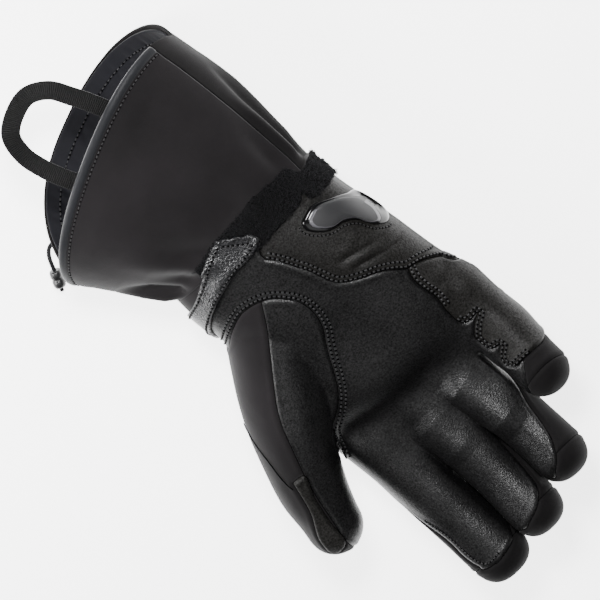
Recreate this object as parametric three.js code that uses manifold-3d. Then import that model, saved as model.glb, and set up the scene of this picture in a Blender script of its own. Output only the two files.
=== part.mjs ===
// A heated right-hand winter glove with a flared gauntlet cuff, lying on the back of the hand, palm up.
// Units are millimetres. +Y runs from the cuff to the fingertips, +X to the thumb and +Z up, out of the palm.
// The origin is on the flat of the back of the hand, where the glove rests.
// Tables give places as shares: side is a share of half the palm's width and along a share of the hand's
// length, both from the origin, and height is a share of the palm's height above the surface it lies on.
import * as THREE from "three";
import { mergeVertices } from "three/addons/utils/BufferGeometryUtils.js";
import Module from "manifold-3d";

const wasm = await Module();
wasm.setup();

// Hand
const PALM_WIDTH = 124; // with its side seams; the sections below are a little narrower
const PALM_HEIGHT = 60;
const HAND_LENGTH = 125; // from the cuff joint to the roots of the fingers
const HAND_WALL = 4; // leather or softshell with its padding and lining
const ROUNDNESS = 2.3; // exponent of the cross sections: 2 is an ellipse
const HAND_SEAM_HEIGHT = 26; // height of the seam along the edge of the hand

// Fingers and thumb
const FINGER_LENGTH = 113; // the index finger, along its curve
const FINGER_WIDTH = 32;
const FINGER_HEIGHT = 30;
const FINGER_WALL = 3.6;
const THUMB_LENGTH = 130.5;
const THUMB_WIDTH = 37.5;
const THUMB_HEIGHT = 38.5;
const THUMB_YAW = 28.8; // degrees from the hand's axis

// Gauntlet cuff
const CUFF_LENGTH = 91.5; // from the cuff joint to the middle of the palm side's hem
const CUFF_MOUTH_WIDTH = 142;
const CUFF_MOUTH_HEIGHT = 69;
const CUFF_WALL = 2.5;
const CUFF_LEAN = 10.8; // degrees that the cuff's axis leans to the thumb side
const HEM_SLANT = 20.5; // degrees that the hem is turned against the hand's axis
const LINING_WALL = 1.2;
const BINDING_WIDTH = 5;
const BINDING_THICKNESS = 4.4;

// Pieces sewn onto the glove
const PATCH_THICKNESS = 1.2;
const LOOP_PATCH_THICKNESS = 1.9;
const STRAP_THICKNESS = 2;
const GUARD_RIM_HEIGHT = 2.2;
const GUARD_HEIGHT = 3.6;

// Pull loop, drawcord and its lock
const WEBBING_WIDTH = 9.5;
const WEBBING_THICKNESS = 1.3;
const LOOP_REACH = 40; // how far the loop's middle line stands out past the hem
const LOOP_SPREAD = 41; // between its two ends
const CORD_DIAMETER = 2.2;
const LOCK_LENGTH = 10;
const LOCK_DIAMETER = 7.5;
const LOCK_CLEARANCE = 0.5; // round the cord inside its lock

// The gap between pieces that are sewn together or rest on each other
const GAP = 0.3;

const FAR = 500; // longer than the glove, for cutters
const SLIVER = 5; // cubic millimetres
const DEGREES = Math.PI / 180;

// Cross sections of the hand from the cuff joint to the finger roots. dip is the hollow of the palm.
const HAND_SECTIONS = [
  { along: -0.7, middle: 0.02, width: 0.824, bottom: 0.09, top: 0.94, dip: 0 },
  { along: -0.6, middle: 0.03, width: 0.83, bottom: 0.08, top: 0.965, dip: 0.01 },
  { along: -0.47, middle: 0.025, width: 0.842, bottom: 0.03, top: 0.99, dip: 0.04 },
  { along: -0.33, middle: 0.02, width: 0.866, bottom: -0.03, top: 0.99, dip: 0.07 },
  { along: -0.15, middle: 0.01, width: 0.895, bottom: -0.04, top: 0.93, dip: 0.09 },
  { along: 0, middle: 0.01, width: 0.915, bottom: -0.04, top: 0.885, dip: 0.07 },
  { along: 0.14, middle: 0.01, width: 0.945, bottom: -0.03, top: 0.83, dip: 0.03 },
  { along: 0.25, middle: 0.01, width: 0.985, bottom: 0.03, top: 0.75, dip: 0 },
  { along: 0.33, middle: 0.01, width: 0.99, bottom: 0.1, top: 0.66, dip: 0 },
  { along: 0.38, middle: 0.01, width: 0.88, bottom: 0.22, top: 0.55, dip: 0 },
];

// Each finger leaves its root level and curls up along an arc. length is a share of FINGER_LENGTH.
const FINGERS = [
  { name: "index", side: 0.712, along: 0.283, height: 0.43, length: 1, yaw: -0.2, curl: 20, width: 1.08 },
  { name: "middle", side: 0.222, along: 0.3, height: 0.43, length: 0.945, yaw: -1.5, curl: 25, width: 0.99 },
  { name: "ring", side: -0.245, along: 0.283, height: 0.43, length: 0.86, yaw: -3.2, curl: 29, width: 0.96 },
  { name: "little", side: -0.75, along: 0.133, height: 0.45, length: 0.675, yaw: -1.5, curl: 37, width: 0.92 },
];
const WRIST_WIDTH = HAND_SECTIONS[0].width * PALM_WIDTH;
const LITTLE = FINGERS.find((finger) => finger.name === "little");
const CAP_START = 0.86; // share of a finger's length where its tip cap begins

// The leather front of a finger narrows to a rounded tongue: across is a share of half the finger's width.
const FRONT_WIDTHS = [
  { share: -0.22, across: 1 },
  { share: 0.25, across: 1 },
  { share: 0.5, across: 1 },
  { share: 0.75, across: 1 },
  { share: 0.85, across: 0.86 },
  { share: 0.9, across: 0.6 },
  { share: 0.93, across: 0.25 },
];

// Sections of the thumb. along is a share of THUMB_LENGTH, out and width shares of THUMB_WIDTH.
const THUMB_ROOT = { side: 0.504, along: -0.35, height: 0.52 };
const THUMB_SECTIONS = [
  { along: 0, out: 0, rise: 0, width: 1.28, height: 1.22 },
  { along: 0.27, out: 0.09, rise: 0.09, width: 1.33, height: 1.2 },
  { along: 0.47, out: 0.185, rise: 0.15, width: 1.17, height: 1.12 },
  { along: 0.685, out: 0.19, rise: 0.19, width: 1, height: 1 },
  { along: 0.83, out: 0.11, rise: 0.22, width: 0.85, height: 0.86 },
];

// Sections of the cuff. along is a share of CUFF_LENGTH, flare a share of the way from wrist to mouth width.
const CUFF_SECTIONS = [
  { along: 0, flare: 0, bottom: 0.08, top: 0.825 },
  { along: 0.2, flare: 0.27, bottom: 0.01, top: 0.87 },
  { along: 0.4, flare: 0.55, bottom: -0.05, top: 0.93 },
  { along: 0.6, flare: 0.79, bottom: -0.06, top: 0.97 },
  { along: 0.8, flare: 0.98, bottom: -0.06, top: 1 },
  { along: 1, flare: 1.08, bottom: -0.06, top: 1.01 },
  { along: 1.25, flare: 1.1, bottom: -0.06, top: 1 },
];
const HEM_AT_SIDES = 0.77; // share of CUFF_LENGTH reached by the hem at both edges of the cuff
const HEM_BULGE_PALM = 0.23;
const HEM_BULGE_BACK = 0.37;
const HEM_SKEW_BACK = 0.25; // how much more the back's hem bulges on the thumb side, and less on the other
const SEAM_THUMB_SIDE = -6; // degrees round the cuff where its palm and back panels meet
const SEAM_OUTER_SIDE = 152;

// Outlines seen from above, as [side, along] points in order.
const THUMB_ARC = [
  [0.87, -0.41], [0.64, -0.475], [0.48, -0.497], [0.345, -0.487], [0.234, -0.458], [0.151, -0.412],
  [0.079, -0.308], [0.139, -0.206], [0.313, -0.089], [0.5, 0.042], [0.815, 0.15], [1.0, 0.3],
];
const HEEL_SEAM = [
  [-0.054, -0.64], [-0.012, -0.59], [-0.118, -0.485], [-0.205, -0.348], [-0.24, -0.3], [-0.415, -0.229],
  [-0.68, -0.112], [-0.889, -0.075], [-0.98, 0.02],
];
const GUARD_OUTLINE = [
  [-0.45, -0.592], [-0.61, -0.603], [-0.72, -0.567], [-0.81, -0.524], [-0.875, -0.465], [-0.905, -0.4],
  [-0.91, -0.33], [-0.885, -0.293], [-0.82, -0.328], [-0.745, -0.42], [-0.66, -0.46], [-0.57, -0.475],
  [-0.49, -0.51], [-0.435, -0.56],
];
const LOOP_PATCH_OUTLINE = [
  [-1.2, -0.71], [-0.83, -0.712], [-0.7, -0.763], [-0.34, -0.8], [0.1, -0.79], [0.4, -0.77], [0.4, -0.64],
  [-0.07, -0.636], [-0.49, -0.64], [-0.64, -0.647], [-0.76, -0.618], [-0.83, -0.57], [-1.2, -0.53],
];
const STRAP_OVER_PALM = [
  [0.1, -0.795], [0.16, -0.79], [0.31, -0.758], [0.48, -0.711], [0.69, -0.655], [0.84, -0.6], [0.93, -0.55],
  [1.3, -0.5], [1.3, -0.37], [0.93, -0.425], [0.83, -0.51], [0.71, -0.565], [0.56, -0.601], [0.4, -0.622],
  [0.21, -0.638], [0, -0.649], [-0.1, -0.657], [-0.125, -0.688],
];
const STRAP_UNDER_BACK = [
  [1.3, -0.52], [0.9, -0.57], [0.3, -0.66], [-0.6, -0.69],
  [-0.6, -0.56], [0.3, -0.52], [0.9, -0.42], [1.3, -0.37],
];
const STRAP_ANCHOR = [
  [-0.45, -0.69], [-0.6, -0.69], [-0.6, -0.56], [-0.45, -0.56],
];
const STRAP_TURN = 0.45; // height at which the strap goes from the palm side to the back

const THUMB_EDGE = [
  [0.93, -0.5], [0.93, 0.1], [0.95, 0.25], [1.02, 0.31], [1.04, 0.36], [1.06, 0.45], [1.06, 0.8],
];

// Outlines on one finger, as [share along its length, share across half its width]; plus is the thumb side.
const LITTLE_PATCH_TEETH = [
  [-0.1, 0.42], [0, 0.57], [0.07, 0.6], [0.11, 0.53], [0.135, 0.31], [0.13, -0.2], [0.18, 0.29],
  [0.21, 0.56], [0.27, 0.6], [0.33, 0.52], [0.34, 0.17], [0.36, 0.35], [0.405, 0.55], [0.46, 0.52],
  [0.49, 0.31], [0.475, -0.14], [0.485, -0.53], [0.535, -1.6],
];
const LITTLE_PATCH_ROOT = [
  [-1.6, 0.4], [-1.6, 0.03], [-0.985, 0.025], [-0.89, -0.068], [-0.7, -0.104],
];

// Outlines on the thumb, as [share of THUMB_LENGTH, share of THUMB_WIDTH outwards].
const THUMB_FRONT_SEAM = [
  [-0.3, -0.17], [-0.142, -0.1], [-0.036, -0.044], [0.138, 0.094], [0.318, 0.214], [0.476, 0.19],
  [0.637, 0.142], [0.81, 0.022], [0.887, -0.033], [1.1, -0.22],
];
const THUMB_TIP_OUTLINE = [
  [0.6, 0.36], [0.58, 0.19], [0.7, 0.14], [0.81, 0.06], [0.93, -0.03], [0.95, 0.2], [0.89, 0.29], [0.742, 0.28],
];

// Middle line of the pull loop: aside is a share of LOOP_SPREAD, out and drop are shares of LOOP_REACH.
const LOOP_ENDS = [110, 81]; // degrees round the cuff
const PULL_LOOP = [
  { aside: -0.5, out: -0.2, drop: 0.04 },
  { aside: -0.52, out: 0.1, drop: 0 },
  { aside: -0.5, out: 0.43, drop: 0.02 },
  { aside: -0.45, out: 0.73, drop: 0.06 },
  { aside: -0.28, out: 0.94, drop: 0.1 },
  { aside: 0, out: 1, drop: 0.12 },
  { aside: 0.28, out: 0.94, drop: 0.12 },
  { aside: 0.43, out: 0.72, drop: 0.1 },
  { aside: 0.48, out: 0.42, drop: 0.04 },
  { aside: 0.48, out: 0.1, drop: 0 },
  { aside: 0.47, out: -0.2, drop: 0.04 },
];

// Drawcord: it leaves the back hem at CORD_EXIT, and its route in millimetres starts from there.
const CORD_EXIT = { along: 0.965, degrees: -30 };
const CORD_ROUTE = [
  { x: 0, y: 0, z: 0 },
  { x: 3.5, y: 0.5, z: -0.6 },
  { x: 7.5, y: 3, z: -2.8 },
  { x: 11, y: 7, z: -5.6 },
  { x: 13.5, y: 11, z: -7.3 },
  { x: 16, y: 15.5, z: -8 },
  { x: 18, y: 19, z: -8 },
  { x: 20, y: 22.5, z: -8 },
];
const LOCK_AT = 0.77; // share of the cord's length where the middle of its lock sits

// Solids
function solidOf(geometry) {
  const bare = new THREE.BufferGeometry().setAttribute("position", geometry.getAttribute("position"));
  if (geometry.index) bare.setIndex(geometry.index);
  const merged = mergeVertices(bare, 1e-4);
  const solid = new wasm.Manifold(
    new wasm.Mesh({
      numProp: 3,
      vertProperties: merged.attributes.position.array,
      triVerts: new Uint32Array(merged.index.array),
    }),
  );
  return solid;
}

function geometryOf(solid) {
  const mesh = solid.getMesh();
  const position = new Float32Array(mesh.numVert * 3);
  for (let i = 0; i < mesh.numVert; i++)
    position.set(mesh.vertProperties.subarray(i * mesh.numProp, i * mesh.numProp + 3), i * 3);
  const geometry = new THREE.BufferGeometry();
  geometry.setAttribute("position", new THREE.BufferAttribute(position, 3));
  geometry.setIndex(new THREE.BufferAttribute(mesh.triVerts, 1));
  return geometry;
}

function geometryFrom(points, triangles) {
  const geometry = new THREE.BufferGeometry().setFromPoints(points);
  geometry.setIndex(triangles);
  return geometry;
}

function facingOut(points, triangles) {
  const solid = solidOf(geometryFrom(points, triangles));
  return solid.volume() > 0 ? solid : solidOf(geometryFrom(points, triangles.reverse()));
}

// A closed solid through rings that all have the same number of points, with a fan over each end.
function loft(rings) {
  const n = rings[0].length;
  const points = rings.flat();
  const triangles = [];
  for (let k = 0; k + 1 < rings.length; k++)
    for (let i = 0; i < n; i++) {
      const a = k * n + i;
      const b = k * n + ((i + 1) % n);
      triangles.push(a, b, b + n, a, b + n, a + n);
    }
  [0, rings.length - 1].forEach((k) => {
    const centre = points.length;
    const middle = rings[k].reduce((sum, p) => sum.add(p), new THREE.Vector3()).divideScalar(n);
    points.push(middle);
    for (let i = 0; i < n; i++) {
      const a = k * n + i;
      const b = k * n + ((i + 1) % n);
      triangles.push(...(k ? [a, b, centre] : [b, a, centre]));
    }
  });
  return facingOut(points, triangles);
}

// A wall between an outer and an inner grid of points; round is true where the grid closes on itself.
function wallBetween(outer, inner, round = false) {
  const rows = outer.length;
  const columns = outer[0].length;
  const at = (k, i, side) => (side * rows + k) * columns + (i % columns);
  const triangles = [];
  const quad = (a, b, c, d) => triangles.push(a, b, c, a, c, d);
  const end = rows - 1;
  for (let i = 0; i < (round ? columns : columns - 1); i++) {
    for (let k = 0; k < end; k++) {
      quad(at(k, i, 0), at(k, i + 1, 0), at(k + 1, i + 1, 0), at(k + 1, i, 0));
      quad(at(k, i, 1), at(k + 1, i, 1), at(k + 1, i + 1, 1), at(k, i + 1, 1));
    }
    quad(at(0, i, 0), at(0, i, 1), at(0, i + 1, 1), at(0, i + 1, 0));
    quad(at(end, i, 0), at(end, i + 1, 0), at(end, i + 1, 1), at(end, i, 1));
  }
  for (let k = 0; k < end && !round; k++) {
    const i = columns - 1;
    quad(at(k, 0, 0), at(k + 1, 0, 0), at(k + 1, 0, 1), at(k, 0, 1));
    quad(at(k, i, 0), at(k, i, 1), at(k + 1, i, 1), at(k + 1, i, 0));
  }
  return facingOut([...outer.flat(), ...inner.flat()], triangles);
}

// A tall prism over an outline seen from above, between two heights.
function prism(outline, low = -FAR, high = FAR) {
  const shape = new THREE.Shape(outline.map((p) => new THREE.Vector2(p.x, p.y)));
  const geometry = new THREE.ExtrudeGeometry(shape, { depth: high - low, bevelEnabled: false });
  geometry.translate(0, 0, low);
  return solidOf(geometry);
}

function unite(solids) {
  return solids.reduce((all, solid) => all.add(solid));
}

// Cuts along curved walls can leave slivers behind, so only the bodies of a real size are kept.
const withoutSlivers = (solid) => unite(solid.decompose().filter((body) => body.volume() > SLIVER));

function between(table, key, at, value) {
  const next = table.findIndex((row) => row[key] >= at);
  if (next === 0) return table[0][value];
  if (next < 0) return table[table.length - 1][value];
  const low = table[next - 1];
  const high = table[next];
  return low[value] + ((high[value] - low[value]) * (at - low[key])) / (high[key] - low[key]);
}

const onPalm = ([side, along]) => new THREE.Vector2((side * PALM_WIDTH) / 2, along * HAND_LENGTH);
const power = (value, exponent) => Math.sign(value) * Math.abs(value) ** exponent;

// Hand: offset grows the surface outwards, or shrinks it inwards when negative.
function palmSolid(offset, sides) {
  const last = HAND_SECTIONS.length - 1;
  const floor = Math.max(0, -offset);
  const rings = HAND_SECTIONS.map((section, k) => {
    const half = (section.width * PALM_WIDTH) / 2 + offset;
    const centre = (section.middle * PALM_WIDTH) / 2;
    const middle = ((section.top + section.bottom) * PALM_HEIGHT) / 2;
    const rise = ((section.top - section.bottom) * PALM_HEIGHT) / 2 + offset;
    const reach = k === last || (k === 0 && offset < 0) ? offset : 0;
    const y = section.along * HAND_LENGTH + reach;
    return Array.from({ length: sides }, (_, i) => {
      const turn = (i / sides) * 2 * Math.PI;
      const across = power(Math.cos(turn), 2 / ROUNDNESS);
      const dip = Math.max(0, Math.sin(turn)) * Math.exp(-((across / 0.45) ** 2)) * section.dip * PALM_HEIGHT;
      const z = middle + rise * power(Math.sin(turn), 2 / ROUNDNESS) - dip;
      return new THREE.Vector3(centre + half * across, y, Math.max(z, floor));
    });
  });
  return loft(rings);
}

// A point on a finger's middle line and the directions across and up from it.
function fingerFrame(finger, share) {
  const length = finger.length * FINGER_LENGTH;
  const curl = finger.curl * DEGREES;
  const turned = Math.max(0, share) * curl;
  const forward = share < 0 ? share * length : (length * Math.sin(turned)) / curl;
  const up = (length * (1 - Math.cos(turned))) / curl;
  const yaw = finger.yaw * DEGREES;
  const root = onPalm([finger.side, finger.along]);
  return {
    point: new THREE.Vector3(
      root.x + forward * Math.sin(yaw),
      root.y + forward * Math.cos(yaw),
      finger.height * PALM_HEIGHT + up,
    ),
    across: new THREE.Vector3(Math.cos(yaw), -Math.sin(yaw), 0),
    up: new THREE.Vector3(
      -Math.sin(yaw) * Math.sin(turned),
      -Math.cos(yaw) * Math.sin(turned),
      Math.cos(turned),
    ),
  };
}

const THUMB_TIP_RISE = 0.24; // of the thumb's tip above its root, as a share of PALM_HEIGHT
const GUARD_PLATE_SHARE = 0.84; // of the guard's outline that its raised plate covers
const LINING_START = 0.02; // share of CUFF_LENGTH
const PALM_SIDES = 26;
const FINGER_SIDES = 12;
const INNER_PALM_SIDES = 16;
const INNER_FINGER_SIDES = 8;
const BINDING_SIDES = 8;
const CUFF_ROWS = 6;
const CUFF_STEP = 15; // degrees
const ROOT_DEPTH = -0.22; // a finger's tube starts this share of its length behind its root
const ROOT_SCALE = 0.75; // and starts this much narrower, inside the palm
const TIP_TAPER = 0.04; // share by which a finger narrows from root to tip
const TIP_BLUNTNESS = 0.8; // exponent of a fingertip's outline: 1 is round
const TIP_RINGS = 3;

function fingerStations(length, radius) {
  const round = radius / length;
  const shaft = [0, 0.2, 0.4, 0.6, 0.78].filter((share) => share < 1 - round - 0.03);
  const tip = Array.from({ length: TIP_RINGS + 1 }, (_, k) => {
    const turn = (k / TIP_RINGS) * 82 * DEGREES;
    const [reach, scale] = [Math.sin(turn), Math.cos(turn)].map((value) => value ** TIP_BLUNTNESS);
    return { share: 1 - round + round * reach, scale };
  });
  return [{ share: ROOT_DEPTH, scale: ROOT_SCALE }, ...shaft.map((share) => ({ share, scale: 1 })), ...tip];
}

function fingerHalves(finger, share, offset) {
  const taper = 1 - TIP_TAPER * Math.max(0, share);
  return {
    across: (finger.width * FINGER_WIDTH * taper) / 2 + offset,
    up: (FINGER_HEIGHT * taper) / 2 + offset,
  };
}

function fingerSolid(finger, offset, sides) {
  const length = finger.length * FINGER_LENGTH;
  const radius = (FINGER_WIDTH * (1 - TIP_TAPER)) / 2;
  const rings = fingerStations(length, radius).map(({ share, scale }) => {
    const reach = share > 0.8 ? share + ((offset * (1 - scale)) / length) : share;
    const frame = fingerFrame(finger, reach);
    const half = fingerHalves(finger, share, offset);
    return Array.from({ length: sides }, (_, i) => {
      const turn = (i / sides) * 2 * Math.PI;
      return frame.point
        .clone()
        .addScaledVector(frame.across, half.across * scale * Math.cos(turn))
        .addScaledVector(frame.up, half.up * scale * Math.sin(turn));
    });
  });
  return loft(rings);
}

// Thumb
const thumbRoot = onPalm([THUMB_ROOT.side, THUMB_ROOT.along]);

function onThumb([along, out]) {
  const yaw = THUMB_YAW * DEGREES;
  const forward = along * THUMB_LENGTH;
  const aside = out * THUMB_WIDTH;
  return new THREE.Vector2(
    thumbRoot.x + forward * Math.sin(yaw) + aside * Math.cos(yaw),
    thumbRoot.y + forward * Math.cos(yaw) - aside * Math.sin(yaw),
  );
}

const thumbLine = new THREE.CatmullRomCurve3(
  [...THUMB_SECTIONS, { along: 1, out: 0, rise: THUMB_TIP_RISE }].map(({ along, out, rise }) => {
    const place = onThumb([along, out]);
    return new THREE.Vector3(place.x, place.y, (THUMB_ROOT.height + rise) * PALM_HEIGHT);
  }),
);

function thumbSolid(offset, sides) {
  const last = THUMB_SECTIONS[THUMB_SECTIONS.length - 1];
  const tipRadius = (last.width * THUMB_WIDTH) / 2;
  const steps = [0, 0.11, 0.22, 0.34, 0.46, 0.58, 0.7, 0.8];
  const stations = steps.map((at) => ({ at, scale: 1 }));
  const roundShare = 1 - tipRadius / THUMB_LENGTH;
  for (let k = 0; k <= TIP_RINGS; k++) {
    const turn = (k / TIP_RINGS) * 82 * DEGREES;
    stations.push({ at: roundShare + (1 - roundShare) * Math.sin(turn), scale: Math.cos(turn) });
  }
  const rings = stations.map(({ at, scale }) => {
    const point = thumbLine.getPointAt(at);
    const ahead = thumbLine.getTangentAt(at);
    point.addScaledVector(ahead, offset * (1 - scale));
    const across = new THREE.Vector3(ahead.y, -ahead.x, 0).normalize();
    const up = new THREE.Vector3().crossVectors(across, ahead).normalize();
    const halfAcross = (between(THUMB_SECTIONS, "along", at, "width") * THUMB_WIDTH) / 2 + offset;
    const halfUp = (between(THUMB_SECTIONS, "along", at, "height") * THUMB_HEIGHT) / 2 + offset;
    return Array.from({ length: sides }, (_, i) => {
      const turn = (i / sides) * 2 * Math.PI;
      return point
        .clone()
        .addScaledVector(across, halfAcross * scale * Math.cos(turn))
        .addScaledVector(up, halfUp * scale * Math.sin(turn));
    });
  });
  return loft(rings);
}

// Cuff: a point at a share of its length and an angle round it, moved outwards by offset.
function cuffPoint(along, degrees, offset) {
  const yaw = HEM_SLANT * DEGREES * Math.max(0, Math.min(1, along / HEM_AT_SIDES));
  const lean = CUFF_LEAN * DEGREES;
  const far = along * CUFF_LENGTH;
  const flare = between(CUFF_SECTIONS, "along", along, "flare");
  const half = (WRIST_WIDTH + (CUFF_MOUTH_WIDTH - WRIST_WIDTH) * flare) / 2 + offset;
  const top = between(CUFF_SECTIONS, "along", along, "top") * CUFF_MOUTH_HEIGHT;
  const bottom = between(CUFF_SECTIONS, "along", along, "bottom") * CUFF_MOUTH_HEIGHT;
  const turn = degrees * DEGREES;
  const across = half * power(Math.cos(turn), 2 / ROUNDNESS);
  const z = (top + bottom) / 2 + ((top - bottom) / 2 + offset) * power(Math.sin(turn), 2 / ROUNDNESS);
  return new THREE.Vector3(
    (HAND_SECTIONS[0].middle * PALM_WIDTH) / 2 + far * Math.sin(lean) + across * Math.cos(yaw),
    HAND_SECTIONS[0].along * HAND_LENGTH - GAP - far * Math.cos(lean) + across * Math.sin(yaw),
    Math.max(z, Math.max(0, -offset)),
  );
}

function hemAt(degrees) {
  const bulge = Math.sin(degrees * DEGREES);
  if (bulge > 0) return HEM_AT_SIDES + HEM_BULGE_PALM * bulge;
  return HEM_AT_SIDES - HEM_BULGE_BACK * bulge * (1 + HEM_SKEW_BACK * Math.cos(degrees * DEGREES));
}

function range(from, to, count) {
  return Array.from({ length: count + 1 }, (_, i) => from + ((to - from) * i) / count);
}

// Angles round the cuff from one to another: the same steps for every layer, so that they lie parallel.
function cuffAngles(from, to) {
  const steps = range(0, 720, 720 / CUFF_STEP).filter((degrees) => degrees > from + 1 && degrees < to - 1);
  return [from, ...steps, to];
}

// Points over the cuff at some angles, from start to trim short of the hem.
function cuffGrid(angles, start, trim, offset) {
  return range(0, 1, CUFF_ROWS).map((share) =>
    angles.map((degrees) => {
      const hem = hemAt(degrees);
      const along = Math.min(Math.max(share * hem, start), hem - trim / CUFF_LENGTH);
      return cuffPoint(along, degrees, offset);
    }),
  );
}

function cuffPanel(angles, trim) {
  return wallBetween(cuffGrid(angles, 0, trim, 0), cuffGrid(angles, 0, trim, -CUFF_WALL));
}

// The wrist end of the cuff as a plain solid, for the layers that are sewn over it.
function cuffStub(offset, sides) {
  const angles = range(0, 360, sides).slice(0, -1);
  return loft([-0.03, 0.2, 0.4].map((along) => angles.map((degrees) => cuffPoint(along, degrees, offset))));
}

// The hand without its cuff, grown by offset, and layers that lie over it between two offsets.
function handSolid(offset) {
  return unite([
    palmSolid(offset, PALM_SIDES),
    thumbSolid(offset, FINGER_SIDES),
    ...FINGERS.map((finger) => fingerSolid(finger, offset, FINGER_SIDES)),
  ]);
}

function wristSolid(offset) {
  return unite([palmSolid(offset, PALM_SIDES), thumbSolid(offset, FINGER_SIDES), cuffStub(offset, PALM_SIDES)]);
}

const handLayer = (low, high) => handSolid(high).subtract(handSolid(low));
const wristLayer = (low, high) => wristSolid(high).subtract(wristSolid(low));

const innerHand = unite([
  palmSolid(-HAND_WALL, INNER_PALM_SIDES),
  thumbSolid(-HAND_WALL, INNER_FINGER_SIDES),
  ...FINGERS.map((finger) => fingerSolid(finger, -FINGER_WALL, INNER_FINGER_SIDES)),
]);
const handShell = handSolid(0).subtract(innerHand);

// Cutter over the leather front of one finger: everything above its middle line, with a rounded end.
function fingerFrontCutter(finger, grow) {
  const rings = FRONT_WIDTHS.map(({ share, across }, k) => {
    const frame = fingerFrame(finger, share + (k === FRONT_WIDTHS.length - 1 ? grow / FINGER_LENGTH : 0));
    const half = fingerHalves(finger, share, 0).across;
    const wide = (across === 1 ? half + 1 : half * across) + grow;
    const corner = (side, height) =>
      frame.point.clone().addScaledVector(frame.across, side * wide).addScaledVector(frame.up, height);
    return [corner(-1, -grow), corner(1, -grow), corner(1, FINGER_HEIGHT), corner(-1, FINGER_HEIGHT)];
  });
  return loft(rings);
}

// The end of one finger past a plane across it, which its tip cap covers.
function fingerTip(finger, shift) {
  const start = CAP_START + shift / (finger.length * FINGER_LENGTH);
  const rings = [start, 1.1].map((share) => {
    const frame = fingerFrame(finger, share);
    const corner = (side, height) =>
      frame.point
        .clone()
        .addScaledVector(frame.across, side * finger.width * FINGER_WIDTH)
        .addScaledVector(frame.up, height * FINGER_HEIGHT);
    return [corner(-1, -1), corner(1, -1), corner(1, 1), corner(-1, 1)];
  });
  return loft(rings).intersect(fingerSolid(finger, GAP / 2, FINGER_SIDES));
}

// The thumb's share of the hand: inside its arc on the palm, and all that lies past the hand's edge.
function thumbCutter(grow) {
  const centre = onPalm([1, -0.2]);
  const arc = THUMB_ARC.map(onPalm).map((p) => p.add(p.clone().sub(centre).setLength(grow)));
  const beyond = [[2.6, 0.8], [2.6, -0.5]].map(onPalm);
  const edge = [...THUMB_EDGE.map(onPalm).map((p) => new THREE.Vector2(p.x - grow, p.y)), ...beyond];
  const mound = [...arc, onPalm([2.6, 0.3]), onPalm([2.6, -0.5])];
  return prism(mound, HAND_SEAM_HEIGHT - grow).add(prism(edge));
}

// Above the seam round the edge of the hand, and above the middle line of each finger.
function frontCutter(grow) {
  const hand = [[-1.6, -1.2], [1.6, -1.2], [1.6, 0.3], [-1.6, 0.3]].map(onPalm);
  const fingers = FINGERS.map((finger) => fingerFrontCutter(finger, grow));
  return unite([prism(hand, HAND_SEAM_HEIGHT - grow), ...fingers]);
}

const thumbShell = handShell.intersect(thumbCutter(0));
const fourFingers = handShell.subtract(thumbCutter(GAP));
const palmLeather = fourFingers.intersect(frontCutter(0));
const backWithCaps = fourFingers.subtract(frontCutter(GAP));
const tipCap = (finger) => backWithCaps.intersect(fingerTip(finger, 0));
const handBack = FINGERS.reduce((rest, finger) => rest.subtract(fingerTip(finger, -GAP)), backWithCaps);

// Thumb panels on either side of the front seam, and the patch over the tip.
function outerThumbSide(shift) {
  const seam = THUMB_FRONT_SEAM.map(([along, out]) => onThumb([along, out + shift / THUMB_WIDTH]));
  return prism([...seam, onThumb([1.2, 3]), onThumb([-0.4, 3])]);
}
const thumbSoftshell = thumbShell.intersect(outerThumbSide(GAP / 2));
const thumbLeather = thumbShell.subtract(outerThumbSide(-GAP / 2));
const patchLayer = handLayer(GAP, GAP + PATCH_THICKNESS);
const thumbMiddleHeight = (THUMB_ROOT.height + THUMB_TIP_RISE) * PALM_HEIGHT;
const thumbTipPatch = patchLayer.intersect(prism(THUMB_TIP_OUTLINE.map(onThumb), thumbMiddleHeight));

// Hook and loop fastening round the wrist. The hand's patches stop short of the loop patch.
const loopOutline = LOOP_PATCH_OUTLINE.map(onPalm);
const loopLayer = wristLayer(GAP, GAP + LOOP_PATCH_THICKNESS);
const loopPatch = loopLayer.intersect(prism(loopOutline, HAND_SEAM_HEIGHT / 2));
const clearOfLoopPatch = prism(loopOutline.map((p) => new THREE.Vector2(p.x + 2 * GAP, p.y + 2 * GAP)));
const strapSeat = LOOP_PATCH_THICKNESS + 2 * GAP;
const strapOver = prism(STRAP_OVER_PALM.map(onPalm), STRAP_TURN * PALM_HEIGHT);
const strapUnder = prism(STRAP_UNDER_BACK.map(onPalm), -FAR, STRAP_TURN * PALM_HEIGHT + GAP);
const strapAnchor = prism(STRAP_ANCHOR.map(onPalm), -FAR, STRAP_TURN * PALM_HEIGHT);
const strap = wristLayer(strapSeat, strapSeat + STRAP_THICKNESS)
  .intersect(strapOver.add(strapUnder))
  .add(wristLayer(GAP, strapSeat + STRAP_THICKNESS).intersect(strapAnchor));

// Patches sewn onto the palm
const heelOutline = [...HEEL_SEAM, [-1.6, 0.02], [-1.6, -0.64]].map(onPalm);
const heelPatch = patchLayer.intersect(prism(heelOutline, HAND_SEAM_HEIGHT)).subtract(clearOfLoopPatch);

function onFinger(finger, [share, across]) {
  const frame = fingerFrame(finger, share);
  const half = fingerHalves(finger, share, 0).across * across;
  return new THREE.Vector2(frame.point.x + frame.across.x * half, frame.point.y + frame.across.y * half);
}

const littleOutline = [...LITTLE_PATCH_TEETH.map((p) => onFinger(LITTLE, p)), ...LITTLE_PATCH_ROOT.map(onPalm)];
const littlePatch = patchLayer.intersect(prism(littleOutline, HAND_SEAM_HEIGHT + 2 * GAP));

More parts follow.
